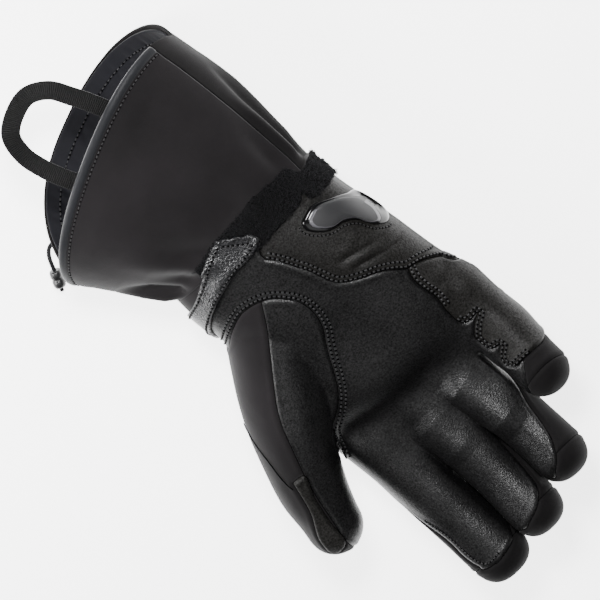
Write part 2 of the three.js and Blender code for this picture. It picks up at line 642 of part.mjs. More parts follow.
// Hard guard on the heel of the palm: a flat rim round a raised plate.
function scaledOutline(outline, scale) {
  const centre = outline.reduce((sum, p) => sum.add(p), new THREE.Vector2()).divideScalar(outline.length);
  return outline.map((p) => p.clone().sub(centre).multiplyScalar(scale).add(centre));
}

const guardCurve = new THREE.SplineCurve([...GUARD_OUTLINE, GUARD_OUTLINE[0]].map(onPalm));
const guardOutline = guardCurve.getPoints(36).slice(0, -1);
const guardSeat = PATCH_THICKNESS + 2 * GAP;
const guard = handLayer(guardSeat, guardSeat + GUARD_RIM_HEIGHT)
  .intersect(prism(guardOutline, HAND_SEAM_HEIGHT))
  .add(
    handLayer(guardSeat, guardSeat + GUARD_HEIGHT).intersect(
      prism(scaledOutline(guardOutline, GUARD_PLATE_SHARE), HAND_SEAM_HEIGHT),
    ),
  )
  .subtract(clearOfLoopPatch);

// Cuff panels, their lining and the bound hem of the palm side
const seamAngle = GAP / (CUFF_MOUTH_HEIGHT / 2) / DEGREES;
const cuffPalm = cuffPanel(cuffAngles(SEAM_THUMB_SIDE, SEAM_OUTER_SIDE), BINDING_WIDTH + GAP);
const cuffBack = cuffPanel(cuffAngles(SEAM_OUTER_SIDE + seamAngle, SEAM_THUMB_SIDE + 360 - seamAngle), 0);
const liningSeat = CUFF_WALL + GAP;
const allRound = cuffAngles(0, 360).slice(0, -1);
const cuffLining = wallBetween(
  cuffGrid(allRound, LINING_START, BINDING_WIDTH + GAP, -liningSeat),
  cuffGrid(allRound, LINING_START, BINDING_WIDTH + GAP, -liningSeat - LINING_WALL),
  true,
);

// The binding folds over the hem: an oval drawn in the cuff's own directions.
function bindingSolid() {
  const rings = cuffAngles(SEAM_THUMB_SIDE + seamAngle, SEAM_OUTER_SIDE - seamAngle).map((degrees) =>
    range(0, 360, BINDING_SIDES).slice(0, -1).map((turn) => {
      const back = (BINDING_WIDTH / 2) * (1 - Math.sin(turn * DEGREES));
      const out = (BINDING_THICKNESS / 2) * Math.cos(turn * DEGREES) - CUFF_WALL / 2;
      return cuffPoint(hemAt(degrees) - back / CUFF_LENGTH, degrees, out);
    }),
  );
  return loft(rings);
}

// Pull loop: webbing whose ends are sewn in under the binding.
function pullLoopSolid() {
  const depth = liningSeat + LINING_WALL + GAP + WEBBING_THICKNESS / 2;
  const [left, right] = LOOP_ENDS.map((degrees) => cuffPoint(hemAt(degrees), degrees, -depth));
  const spread = right.clone().sub(left).setLength(LOOP_SPREAD);
  const outwards = new THREE.Vector3(spread.y, -spread.x, 0).setLength(LOOP_REACH);
  const middle = left.clone().add(right).divideScalar(2);
  const down = new THREE.Vector3(0, 0, -LOOP_REACH);
  const placed = ({ aside, out, drop }) =>
    middle.clone().addScaledVector(spread, aside).addScaledVector(outwards, out).addScaledVector(down, drop);
  const line = new THREE.CatmullRomCurve3(PULL_LOOP.map(placed));
  const rings = range(0, 1, 30).map((at) => {
    const point = line.getPointAt(at);
    const ahead = line.getTangentAt(at);
    const normal = new THREE.Vector3().crossVectors(outwards, spread).normalize();
    const wide = new THREE.Vector3().crossVectors(ahead, normal).normalize();
    const thick = new THREE.Vector3().crossVectors(wide, ahead).normalize();
    return [[-1, -1], [1, -1], [1, 1], [-1, 1]].map(([a, b]) =>
      point
        .clone()
        .addScaledVector(wide, (a * WEBBING_WIDTH) / 2)
        .addScaledVector(thick, (b * WEBBING_THICKNESS) / 2),
    );
  });
  return loft(rings);
}

// Drawcord of the back hem, through its lock
const cordExit = cuffPoint(CORD_EXIT.along, CORD_EXIT.degrees, GAP + CORD_DIAMETER / 4);
const cordCurve = new THREE.CatmullRomCurve3(
  CORD_ROUTE.map(({ x, y, z }) => cordExit.clone().add(new THREE.Vector3(x, y, z))),
);
function cordSolid() {
  const shape = new THREE.Shape();
  shape.absarc(0, 0, CORD_DIAMETER / 2, 0, 2 * Math.PI);
  const steps = Math.round(cordCurve.getLength() / (2 * CORD_DIAMETER));
  return solidOf(new THREE.ExtrudeGeometry(shape, { steps, curveSegments: 4, extrudePath: cordCurve }));
}

function lockSolid() {
  const bore = CORD_DIAMETER / 2 + LOCK_CLEARANCE;
  const half = LOCK_LENGTH / 2;
  const widest = LOCK_DIAMETER / 2;
  const end = widest * 0.72;
  const profile = [
    [bore, -half], [end, -half], [widest, -half * 0.6], [widest, half * 0.6], [end, half], [bore, half],
  ];
  const outline = [...profile, profile[0]].map(([r, y]) => new THREE.Vector2(r, y));
  const geometry = new THREE.LatheGeometry(outline, 14);
  const ahead = cordCurve.getTangentAt(LOCK_AT);
  geometry.applyQuaternion(new THREE.Quaternion().setFromUnitVectors(new THREE.Vector3(0, 1, 0), ahead));
  const place = cordCurve.getPointAt(LOCK_AT);
  geometry.translate(place.x, place.y, place.z);
  return solidOf(geometry);
}

// Materials
const paint = (color, roughness) => new THREE.MeshStandardMaterial({ color, roughness, metalness: 0 });
const softshell = paint(0x252122, 0.85);
const softshellBack = paint(0x1d1b1d, 0.85);
const leather = paint(0x1f1f1f, 0.5);
const patchLeather = paint(0x242322, 0.55);
const strapLeather = paint(0x2c2c2e, 0.45);
const loopPile = paint(0x16161a, 0.95);
const liningCloth = paint(0x202028, 0.8);
const bindingCloth = paint(0x3c3d42, 0.6);
const webbing = paint(0x161716, 0.7);
const hardGuard = paint(0x1a1a1b, 0.15);
const lockPlastic = paint(0x1b1b1c, 0.35);
const elastic = paint(0x202022, 0.8);

const glove = new THREE.Group();

function addPiece(name, solid, material) {
  const mesh = new THREE.Mesh(geometryOf(withoutSlivers(solid)), material);
  mesh.name = name;
  glove.add(mesh);
}

addPiece("palm_leather", palmLeather, leather);
addPiece("hand_back", handBack, softshellBack);
FINGERS.forEach((finger) => addPiece(`tip_cap_${finger.name}`, tipCap(finger), softshellBack));
addPiece("thumb_leather", thumbLeather, leather);
addPiece("thumb_softshell", thumbSoftshell, softshell);
addPiece("thumb_tip_patch", thumbTipPatch, patchLeather);
addPiece("heel_patch", heelPatch, patchLeather);
addPiece("little_finger_patch", littlePatch, patchLeather);
addPiece("palm_guard", guard, hardGuard);
addPiece("loop_patch", loopPatch, loopPile);
addPiece("wrist_strap", strap, strapLeather);
addPiece("cuff_palm", cuffPalm, softshell);
addPiece("cuff_back", cuffBack, softshellBack);
addPiece("cuff_lining", cuffLining, liningCloth);
addPiece("hem_binding", bindingSolid(), bindingCloth);
addPiece("pull_loop", pullLoopSolid(), webbing);
addPiece("drawcord", cordSolid(), elastic);
addPiece("cord_lock", lockSolid(), lockPlastic);

export default glove;
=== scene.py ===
"""A heated right-hand winter glove with a gauntlet cuff, lying palm up on the back of the hand.

The soft pieces are made here from the same sections as the frame's solids. Lengths are in millimetres up to
the point where a mesh is made, which is in metres. +Y runs to the fingertips, +X to the thumb, +Z up.
Tables give places as shares: side of half the palm's width, along of the hand's length.
"""
import math

import bpy
import numpy as np
from mathutils import Matrix, Vector
from mathutils.bvhtree import BVHTree
from mathutils.kdtree import KDTree


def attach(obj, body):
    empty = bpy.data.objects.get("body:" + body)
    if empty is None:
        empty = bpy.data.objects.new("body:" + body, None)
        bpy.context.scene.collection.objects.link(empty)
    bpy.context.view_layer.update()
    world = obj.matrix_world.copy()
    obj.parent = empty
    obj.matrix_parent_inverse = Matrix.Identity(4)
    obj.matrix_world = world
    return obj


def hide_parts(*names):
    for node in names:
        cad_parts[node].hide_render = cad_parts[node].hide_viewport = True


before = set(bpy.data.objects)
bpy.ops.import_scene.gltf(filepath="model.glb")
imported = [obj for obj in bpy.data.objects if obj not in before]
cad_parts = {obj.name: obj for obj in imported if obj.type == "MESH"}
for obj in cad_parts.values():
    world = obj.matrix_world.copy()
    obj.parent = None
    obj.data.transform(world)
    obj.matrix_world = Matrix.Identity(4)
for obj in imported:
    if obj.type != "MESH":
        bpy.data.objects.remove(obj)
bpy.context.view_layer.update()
rng = np.random.default_rng(7)
MM = 0.001
TINY = 1e-12
ABOVE = 200  # a height over the whole glove, where rays start

# Hand, fingers and thumb
PALM_WIDTH = 124.0
PALM_HEIGHT = 60.0
HAND_LENGTH = 125.0
ROUNDNESS = 2.3
HAND_SEAM_HEIGHT = 26.0
FINGER_LENGTH = 113.0
FINGER_WIDTH = 32.0
FINGER_HEIGHT = 30.0
TIP_TAPER = 0.04
TIP_BLUNTNESS = 0.8
THUMB_LENGTH = 130.5
THUMB_WIDTH = 37.5
THUMB_HEIGHT = 38.5
THUMB_YAW = math.radians(28.8)
CAP_START = 0.86

# Cuff
CUFF_LENGTH = 91.5
MOUTH_WIDTH = 142.0
MOUTH_HEIGHT = 69.0
CUFF_LEAN = math.radians(10.8)
HEM_SLANT = math.radians(20.5)
HEM_AT_SIDES = 0.77
HEM_BULGE_PALM = 0.23
HEM_BULGE_BACK = 0.37
HEM_SKEW_BACK = 0.25
SEAM_THUMB_SIDE = -6.0
SEAM_OUTER_SIDE = 152.0
BINDING_WIDTH = 5.0
BINDING_THICKNESS = 4.4
CUFF_WALL = 2.5

# Pieces sewn on
PATCH_RISE = 1.1
THUMB_PATCH_HEIGHT = 22  # of its lower edge, above the thumb's root
STITCH_PITCH = 2.5
NARROW_CREASE = 4.0  # creases narrower than this swell at one side
SLIT_DEPTH = 7.0  # added between the fingers
ROOT_BLUR = 4.2  # of the heights at the fingers' roots, in cells of their table
SEAM_DEPTH = 0.6
SEAM_WIDTH = 0.6
SEAM_SWELL = 0.25  # of the leather beside a seam
SEAM_LINE = 0.3  # radius of the dark line of painted shade in a seam
WEBBING_WIDTH = 9.5
WEBBING_THICKNESS = 1.3
LOOP_REACH = 40.0
LOOP_SPREAD = 41.0
VOXEL = 0.9

# Sections of the hand: along, middle, width, bottom, top, dip
HAND_SECTIONS = np.array([
    (-0.74, 0.02, 0.82, 0.09, 0.93, 0.00),
    (-0.70, 0.02, 0.824, 0.09, 0.94, 0.00),
    (-0.60, 0.03, 0.83, 0.08, 0.965, 0.01),
    (-0.47, 0.025, 0.842, 0.03, 0.99, 0.04),
    (-0.33, 0.02, 0.866, -0.03, 0.99, 0.07),
    (-0.15, 0.01, 0.895, -0.04, 0.93, 0.09),
    (0.00, 0.01, 0.915, -0.04, 0.885, 0.07),
    (0.14, 0.01, 0.945, -0.03, 0.83, 0.03),
    (0.25, 0.01, 0.985, 0.03, 0.75, 0.00),
    (0.33, 0.01, 0.99, 0.10, 0.66, 0.00),
    (0.38, 0.01, 0.88, 0.22, 0.55, 0.00),
])

# Fingers: side, along, height, length, yaw, curl, width
FINGERS = {
    "index": (0.712, 0.283, 0.43, 1.0, -0.2, 20.0, 1.08),
    "middle": (0.222, 0.30, 0.43, 0.945, -1.5, 25.0, 0.99),
    "ring": (-0.245, 0.283, 0.43, 0.86, -3.2, 29.0, 0.96),
    "little": (-0.75, 0.133, 0.45, 0.675, -1.5, 37.0, 0.92),
}

# The leather front of each finger: share along it, and the angles of its outer and thumb-side edges
FRONTS = {
    "index": [(-0.3, 180, 0), (0.3, 180, 2), (0.5, 180, 27), (0.65, 180, 42), (0.8, 174, 45), (0.846, 156, 52),
              (0.887, 124, 66), (0.9, 94, 92)],
    "middle": [(-0.3, 180, 0), (0.4, 172, 0), (0.72, 150, 2), (0.8, 140, 4), (0.853, 122, 8), (0.89, 98, 22),
               (0.915, 62, 52)],
    "ring": [(-0.3, 180, 0), (0.35, 165, 0), (0.55, 138, 0), (0.7, 124, 2), (0.82, 108, 6), (0.9, 84, 18),
             (0.945, 52, 42)],
    "little": [(-0.3, 180, 0), (0.45, 168, 0), (0.53, 146, 0), (0.575, 118, 0), (0.69, 92, 0), (0.817, 58, 0),
               (0.916, 10, 5)],
}

THUMB_ROOT = (0.504, -0.35, 0.52)
# Sections of the thumb: along, out, rise, width, height
THUMB_SECTIONS = np.array([
    (0.0, 0.0, 0.0, 1.28, 1.22),
    (0.27, 0.09, 0.09, 1.33, 1.2),
    (0.47, 0.185, 0.15, 1.17, 1.12),
    (0.685, 0.19, 0.19, 1.0, 1.0),
    (0.83, 0.11, 0.22, 0.85, 0.86),
    (1.0, 0.0, 0.24, 0.85, 0.86),
])

# Sections of the cuff: along, flare, bottom, top
CUFF_SECTIONS = np.array([
    (0.0, 0.0, 0.08, 0.825),
    (0.2, 0.27, 0.01, 0.87),
    (0.4, 0.55, -0.05, 0.93),
    (0.6, 0.79, -0.06, 0.97),
    (0.8, 0.98, -0.06, 1.0),
    (1.0, 1.08, -0.06, 1.01),
    (1.25, 1.1, -0.06, 1.0),
])

# Outlines seen from above: side, along
THUMB_ARC = [(0.87, -0.41), (0.64, -0.475), (0.48, -0.497), (0.345, -0.487), (0.234, -0.458), (0.151, -0.412),
             (0.09, -0.355), (0.079, -0.308), (0.139, -0.206), (0.225, -0.15), (0.313, -0.089), (0.40, -0.022),
             (0.5, 0.042), (0.64, 0.10), (0.815, 0.15), (1.0, 0.3)]
THUMB_EDGE = [(0.93, -0.5), (0.93, 0.1), (0.95, 0.25), (1.02, 0.31), (1.04, 0.36), (1.06, 0.45), (1.06, 0.8)]
HEEL_SEAM = [(-0.054, -0.66), (-0.012, -0.59), (-0.068, -0.543), (-0.118, -0.485), (-0.172, -0.416),
             (-0.205, -0.348), (-0.24, -0.3), (-0.305, -0.267), (-0.415, -0.229), (-0.524, -0.196),
             (-0.613, -0.154), (-0.68, -0.112), (-0.78, -0.086), (-0.86, -0.045), (-0.93, 0.03), (-1.02, 0.12)]
LITTLE_EDGE = [(-0.69, -0.106), (-0.655, -0.06), (-0.652, 0.007), (-0.658, 0.061), (-0.645, 0.1), (-0.628, 0.13)]
LITTLE_TEETH = [(-0.612, 0.195), (-0.622, 0.226), (-0.665, 0.244), (-0.78, 0.245), (-0.712, 0.262), (-0.64, 0.29),
                (-0.6, 0.312), (-0.592, 0.35), (-0.615, 0.394), (-0.71, 0.402), (-0.655, 0.42), (-0.612, 0.448),
                (-0.61, 0.486), (-0.66, 0.504), (-0.76, 0.502), (-0.87, 0.506), (-1.0, 0.53), (-1.6, 0.55)]
GUARD = [(-0.429, -0.582), (-0.589, -0.593), (-0.699, -0.557), (-0.789, -0.514), (-0.854, -0.455), (-0.884, -0.39),
         (-0.889, -0.32), (-0.864, -0.283), (-0.799, -0.318), (-0.724, -0.41), (-0.639, -0.45), (-0.549, -0.465),
         (-0.469, -0.5), (-0.414, -0.55)]

# Outlines on the thumb: share along it, share of its width outwards
THUMB_FRONT_SEAM = [(-0.3, -0.17), (-0.142, -0.1), (-0.036, -0.044), (0.138, 0.094), (0.318, 0.214),
                    (0.476, 0.19), (0.637, 0.142), (0.81, 0.022), (0.887, -0.033), (1.1, -0.22)]
THUMB_TIP_PATCH = [(0.6, 0.36), (0.58, 0.19), (0.7, 0.14), (0.81, 0.06), (0.93, -0.03), (0.96, 0.18),
                   (0.89, 0.29), (0.742, 0.28)]

# Creases of the hand: depth, width, and the line as (side, along) points
CREASES = [
    (4.0, 9.5, [(1.0, 0.20), (0.65, 0.24), (0.37, 0.28), (0.1, 0.29), (-0.17, 0.29), (-0.3, 0.32), (-0.42, 0.36)]),
    (-4.0, 8.5, [(-0.08, 0.36), (-0.13, 0.45), (-0.18, 0.56), (-0.24, 0.72)]),
    (-1.6, 9.0, [(0.28, 0.40), (0.27, 0.50), (0.24, 0.66)]),
    (0.9, 2.0, [(-0.36, -0.36), (-0.56, -0.32), (-0.80, -0.27)]),
    (0.8, 1.8, [(-0.40, -0.30), (-0.62, -0.25), (-0.84, -0.20)]),
    (0.6, 1.8, [(-0.52, -0.36), (-0.70, -0.33), (-0.90, -0.26)]),
    (0.6, 2.6, [(-0.62, 0.08), (-0.70, 0.05), (-0.80, 0.03)]),
]


# Curves and outlines

def hermite(x, xs, ys):
    """A smooth curve through a table's column."""
    xs, ys = np.asarray(xs, float), np.asarray(ys, float)
    slope = np.gradient(ys, xs)
    x = np.clip(np.asarray(x, float), xs[0], xs[-1])
    i = np.clip(np.searchsorted(xs, x) - 1, 0, len(xs) - 2)
    h = xs[i + 1] - xs[i]
    t = (x - xs[i]) / h
    return ((2 * t**3 - 3 * t**2 + 1) * ys[i] + (t**3 - 2 * t**2 + t) * h * slope[i]
            + (3 * t**2 - 2 * t**3) * ys[i + 1] + (t**3 - t**2) * h * slope[i + 1])


def columns_at(x, table):
    """The columns of a table at places along its first one."""
    return [hermite(x, table[:, 0], table[:, k]) for k in range(1, table.shape[1])]


def arc_lengths(line):
    """Distance along a line to each of its points."""
    return np.r_[0, np.cumsum(np.linalg.norm(np.diff(line, axis=0), axis=1))]


def unit(vectors):
    return vectors / np.maximum(np.linalg.norm(vectors, axis=-1, keepdims=True), TINY)


def directions(line):
    """Direction of a line at each of its points."""
    return unit(np.gradient(line, axis=0))


def spline(points, count):
    """Evenly spaced points on a smooth curve through some points."""
    points = np.asarray(points, float)
    steps = arc_lengths(points)
    fine = np.linspace(0, steps[-1], count * 4)
    curve = np.stack([hermite(fine, steps, points[:, k]) for k in range(points.shape[1])], 1)
    arc = arc_lengths(curve)
    even = np.linspace(0, arc[-1], count)
    return np.stack([np.interp(even, arc, curve[:, k]) for k in range(points.shape[1])], 1)


def on_palm(points):
    """Places in plan for points given as side and along."""
    return np.asarray(points, float) * (PALM_WIDTH / 2, HAND_LENGTH)


def on_thumb(points):
    """Places in plan for points given as a share along the thumb and a share of its width outwards."""
    points = np.asarray(points, float)
    root = on_palm([THUMB_ROOT[:2]])[0]
    forward, aside = (points * (THUMB_LENGTH, THUMB_WIDTH)).T
    return np.stack([root[0] + forward * math.sin(THUMB_YAW) + aside * math.cos(THUMB_YAW),
                     root[1] + forward * math.cos(THUMB_YAW) - aside * math.sin(THUMB_YAW)], 1)


def line_distance(p, line):
    """Distance in plan from points to an open line, and how far along the line the nearest point is."""
    best = np.full(len(p), 1e9)
    place = np.zeros(len(p))
    total = 0.0
    for a, b in zip(line[:-1], line[1:]):
        ab = b - a
        length = float(np.hypot(*ab))
        t = np.clip(((p[:, :2] - a) @ ab) / (length**2 + 1e-12), 0, 1)
        d = np.hypot(*(p[:, :2] - a - t[:, None] * ab).T)
        nearer = d < best
        best = np.where(nearer, d, best)
        place = np.where(nearer, total + t * length, place)
        total += length
    return best, place / max(total, 1e-9)


def inside_distance(p, outline):
    """Signed distance in plan to a closed outline, positive inside."""
    d, _ = line_distance(p, np.vstack([outline, outline[:1]]))
    inside = np.zeros(len(p), bool)
    x, y = p[:, 0], p[:, 1]
    for a, b in zip(outline, np.roll(outline, -1, axis=0)):
        crosses = (a[1] > y) != (b[1] > y)
        with np.errstate(divide="ignore", invalid="ignore"):
            at = (b[0] - a[0]) * (y - a[1]) / (b[1] - a[1]) + a[0]
        inside ^= crosses & (x < at)
    return np.where(inside, d, -d)


def power(value, exponent):
    return np.sign(value) * np.abs(value) ** exponent


# Forms

def ring_angles(count):
    return np.arange(count) * 2 * math.pi / count


def palm_rings():
    turn = ring_angles(110)
    rings = []
    for along in np.linspace(HAND_SECTIONS[0, 0], HAND_SECTIONS[-1, 0], 74):
        middle, width, bottom, top, dip = columns_at(along, HAND_SECTIONS)
        across = power(np.cos(turn), 2 / ROUNDNESS)
        hollow = np.maximum(0, np.sin(turn)) * np.exp(-((across / 0.45) ** 2)) * dip * PALM_HEIGHT
        z = ((top + bottom) + (top - bottom) * power(np.sin(turn), 2 / ROUNDNESS)) * PALM_HEIGHT / 2 - hollow
        x = (middle + width * across) * PALM_WIDTH / 2
        rings.append(np.stack([x, np.full_like(x, along * HAND_LENGTH), np.maximum(z, 0)], 1))
    return rings


def finger_place(name, share):
    """Middle point of a finger at a share of its length, with its directions across and up."""
    side, along, height, length, yaw, curl, _ = FINGERS[name]
    length, yaw, curl = length * FINGER_LENGTH, math.radians(yaw), math.radians(curl)
    turned = max(0.0, share) * curl
    forward = share * length if share < 0 else length * math.sin(turned) / curl
    rise = length * (1 - math.cos(turned)) / curl
    x, y = on_palm([(side, along)])[0]
    ahead = np.array([math.sin(yaw), math.cos(yaw), 0])
    point = np.array([x, y, height * PALM_HEIGHT + rise]) + ahead * forward
    across = np.array([math.cos(yaw), -math.sin(yaw), 0])
    return point, across, np.array([0, 0, math.cos(turned)]) - ahead * math.sin(turned)


def finger_half(name, share):
    taper = 1 - TIP_TAPER * np.clip(share, 0, 1)
    return FINGERS[name][6] * FINGER_WIDTH * taper / 2, FINGER_HEIGHT * taper / 2


def finger_rings(name):
    length = FINGERS[name][3] * FINGER_LENGTH
    round_share = FINGER_WIDTH * (1 - TIP_TAPER) / 2 / length
    stations = [(share, 1.0) for share in np.linspace(0, 1 - round_share, 34)]
    stations += [(1 - round_share + round_share * math.sin(t)**TIP_BLUNTNESS, math.cos(t)**TIP_BLUNTNESS)
                 for t in np.linspace(0.08, 1.5, 13)]
    turn = ring_angles(60)
    rings = []
    for share, scale in [(-0.22, 0.75)] + stations:
        point, across, up = finger_place(name, share)
        half_across, half_up = finger_half(name, share)
        # joints are a little fuller than the stretches between them
        full = 1 + 0.018 * math.cos(share * 2 * math.pi * 2.3)
        rings.append(point + np.outer(np.cos(turn) * scale * half_across * full, across)
                     + np.outer(np.sin(turn) * scale * half_up * full, up))
    return rings


def thumb_line():
    """Fine points of the thumb's middle line."""
    place = on_thumb(THUMB_SECTIONS[:, :2])
    z = (THUMB_ROOT[2] + THUMB_SECTIONS[:, 2]) * PALM_HEIGHT
    return spline(np.column_stack([place, z]), 240)


def thumb_rings():
    line = thumb_line()
    ahead = directions(line)
    round_share = 1 - THUMB_SECTIONS[-1, 3] * THUMB_WIDTH / 2 / THUMB_LENGTH
    stations = [(at, 1.0) for at in np.linspace(0, round_share, 40)]
    stations += [(round_share + (1 - round_share) * math.sin(t), math.cos(t)) for t in np.linspace(0.08, 1.5, 13)]
    turn = ring_angles(64)
    rings = []
    for at, scale in stations:
        i = at * (len(line) - 1)
        point = np.array([np.interp(i, np.arange(len(line)), line[:, k]) for k in range(3)])
        d = ahead[int(round(i))]
        across = np.array([d[1], -d[0], 0]) / math.hypot(d[0], d[1])
        up = np.cross(across, d)
        _, _, width, height = columns_at(at, THUMB_SECTIONS)
        rings.append(point + np.outer(np.cos(turn) * (width * THUMB_WIDTH / 2 * scale), across)
                     + np.outer(np.sin(turn) * (height * THUMB_HEIGHT / 2 * scale), up))
    return rings


def cuff_points(along, degrees, offset):
    """Points over the cuff for arrays of shares of its length and of angles round it."""
    along, degrees = np.broadcast_arrays(np.asarray(along, float), np.asarray(degrees, float))
    yaw = HEM_SLANT * np.clip(along / HEM_AT_SIDES, 0, 1)
    far = along * CUFF_LENGTH
    flare, bottom, top = columns_at(along, CUFF_SECTIONS)
    wrist = HAND_SECTIONS[1, 2] * PALM_WIDTH
    half = (wrist + (MOUTH_WIDTH - wrist) * flare) / 2 + offset
    turn = np.radians(degrees)
    across = half * power(np.cos(turn), 2 / ROUNDNESS)
    half_high = (top - bottom) * MOUTH_HEIGHT / 2 + offset
    z = (top + bottom) * MOUTH_HEIGHT / 2 + half_high * power(np.sin(turn), 2 / ROUNDNESS)
    return np.stack([
        HAND_SECTIONS[1, 1] * PALM_WIDTH / 2 + far * math.sin(CUFF_LEAN) + across * np.cos(yaw),
        HAND_SECTIONS[1, 0] * HAND_LENGTH - 0.3 - far * math.cos(CUFF_LEAN) + across * np.sin(yaw),
        np.maximum(z, np.maximum(0, -offset)),
    ], -1)


def hem_at(degrees):
    """Share of the cuff's length where its hem lies at an angle round it."""
    bulge, side = np.sin(np.radians(degrees)), np.cos(np.radians(degrees))
    back = -HEM_BULGE_BACK * bulge * (1 + HEM_SKEW_BACK * side)
    return HEM_AT_SIDES + np.where(bulge > 0, HEM_BULGE_PALM * bulge, back)


# Meshes

def mesh_object(name, points, faces, slot, material, nodes=(), smooth=True):
    """An object from points in millimetres that rides on the glove and stands for CAD nodes."""
    mesh = bpy.data.meshes.new(name)
    mesh.from_pydata((np.asarray(points, float) * MM).tolist(), [], [list(map(int, f)) for f in faces])
    mesh.update()
    piece = bpy.data.objects.new(name, mesh)
    bpy.context.scene.collection.objects.link(piece)
    mesh.polygons.foreach_set("use_smooth", [smooth] * len(mesh.polygons))
    mesh.materials.append(material)
    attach(piece, "root")
    if nodes:
        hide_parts(*nodes)
    return piece


def closed_tube(rings):
    """Points and faces of a tube through rings of equal size, closed by a fan at each end."""
    n = len(rings[0])
    points = [p for ring in rings for p in ring] + [rings[0].mean(0), rings[-1].mean(0)]
    faces = []
    for k in range(len(rings) - 1):
        faces += [(k * n + i, k * n + (i + 1) % n, (k + 1) * n + (i + 1) % n, (k + 1) * n + i) for i in range(n)]
    last = (len(rings) - 1) * n
    faces += [((i + 1) % n, i, len(points) - 2) for i in range(n)]
    faces += [(last + i, last + (i + 1) % n, len(points) - 1) for i in range(n)]
    return np.array(points), faces


def grid_faces(rows, columns, closed=False):
    return [(r * columns + c, r * columns + (c + 1) % columns,
             (r + 1) * columns + (c + 1) % columns, (r + 1) * columns + c)
            for r in range(rows - 1) for c in range(columns if closed else columns - 1)]


def joined(parts):
    """Points and faces of several meshes as one."""
    starts = np.cumsum([0] + [len(points) for points, _ in parts]).tolist()
    faces = [tuple(start + i for i in face) for start, (_, rows) in zip(starts, parts) for face in rows]
    return np.vstack([points for points, _ in parts]), faces


def slab(grid, thickness, name, slot, material, nodes=()):
    """A sheet with thickness from a grid of its outer points, which grows inwards."""
    rows, columns = grid.shape[:2]
    inner = grid + unit(np.cross(np.gradient(grid, axis=0), np.gradient(grid, axis=1))) * thickness
    points = np.vstack([grid.reshape(-1, 3), inner.reshape(-1, 3)])
    size = rows * columns
    outer = grid_faces(rows, columns)
    faces = outer + [tuple(reversed([i + size for i in f])) for f in outer]
    edge = [(0, c) for c in range(columns)] + [(r, columns - 1) for r in range(1, rows)]
    edge += [(rows - 1, c) for c in range(columns - 2, -1, -1)] + [(r, 0) for r in range(rows - 2, 0, -1)]
    loop = [r * columns + c for r, c in edge]
    faces += [(b, a, a + size, b + size) for a, b in zip(loop, loop[1:] + loop[:1])]
    return mesh_object(name, points, faces, slot, material, nodes)


def remeshed_hand():
    """The hand, fingers and thumb as one smooth skin: its points and triangles."""
    tubes = [palm_rings(), thumb_rings()] + [finger_rings(name) for name in FINGERS]
    points, faces = joined([closed_tube(rings) for rings in tubes])
    mesh = bpy.data.meshes.new("hand_form")
    mesh.from_pydata((points * MM).tolist(), [], faces)
    form = bpy.data.objects.new("hand_form", mesh)
    bpy.context.scene.collection.objects.link(form)
    remesh = form.modifiers.new("remesh", "REMESH")
    remesh.mode = "VOXEL"
    remesh.voxel_size = VOXEL * MM
    soften = form.modifiers.new("soften", "SMOOTH")
    soften.factor = 0.5
    soften.iterations = 14
    triangulate = form.modifiers.new("triangulate", "TRIANGULATE")
    triangulate.quad_method = "SHORTEST_DIAGONAL"
    done = form.evaluated_get(bpy.context.evaluated_depsgraph_get()).to_mesh()
    verts = np.empty(len(done.vertices) * 3)
    done.vertices.foreach_get("co", verts)
    tris = np.empty(len(done.polygons) * 3, int)
    done.polygons.foreach_get("vertices", tris)
    form.to_mesh_clear()
    bpy.data.objects.remove(form)
    bpy.data.meshes.remove(mesh)
    return verts.reshape(-1, 3) / MM, tris.reshape(-1, 3)


def vertex_normals(points, tris):
    face = np.cross(points[tris[:, 1]] - points[tris[:, 0]], points[tris[:, 2]] - points[tris[:, 0]])
    normal = np.zeros_like(points)
    for k in range(3):
        np.add.at(normal, tris[:, k], face)
    return unit(normal)


def cut(points, tris, field):
    """Splits the triangles along the line where a field of the points crosses zero."""
    value = field(points)
    value = np.where(np.abs(value) < 1e-6, 1e-6, value)
    side = value > 0
    edges = np.sort(tris[:, [0, 1, 1, 2, 2, 0]].reshape(-1, 2), axis=1)
    unique, inverse = np.unique(edges, axis=0, return_inverse=True)
    a, b = unique.T
    crossing = side[a] != side[b]
    t = np.zeros(len(unique))
    t[crossing] = value[a[crossing]] / (value[a[crossing]] - value[b[crossing]])
    t = np.clip(t, 0.02, 0.98)
    number = np.full(len(unique), -1)
    number[crossing] = len(points) + np.arange(crossing.sum())
    added = points[a[crossing]] + (points[b[crossing]] - points[a[crossing]]) * t[crossing, None]
    split = number[inverse.reshape(-1, 3)]
    sides = side[tris]
    positives = sides.sum(1)
    kept = [tris[(positives == 0) | (positives == 3)]]
    for odd in range(3):
        other = [(odd + 1) % 3, (odd + 2) % 3]
        chosen = (sides[:, odd] != sides[:, other[0]]) & (sides[:, odd] != sides[:, other[1]])
        apex, left, right = (tris[chosen][:, k] for k in (odd, other[0], other[1]))
        on_left, on_right = split[chosen][:, odd], split[chosen][:, other[1]]
        kept += [np.stack(t3, 1) for t3 in
                 ((apex, on_left, on_right), (on_left, left, right), (on_left, right, on_right))]
    return np.vstack([points, added]), np.vstack(kept)


# Where the panels of the hand meet

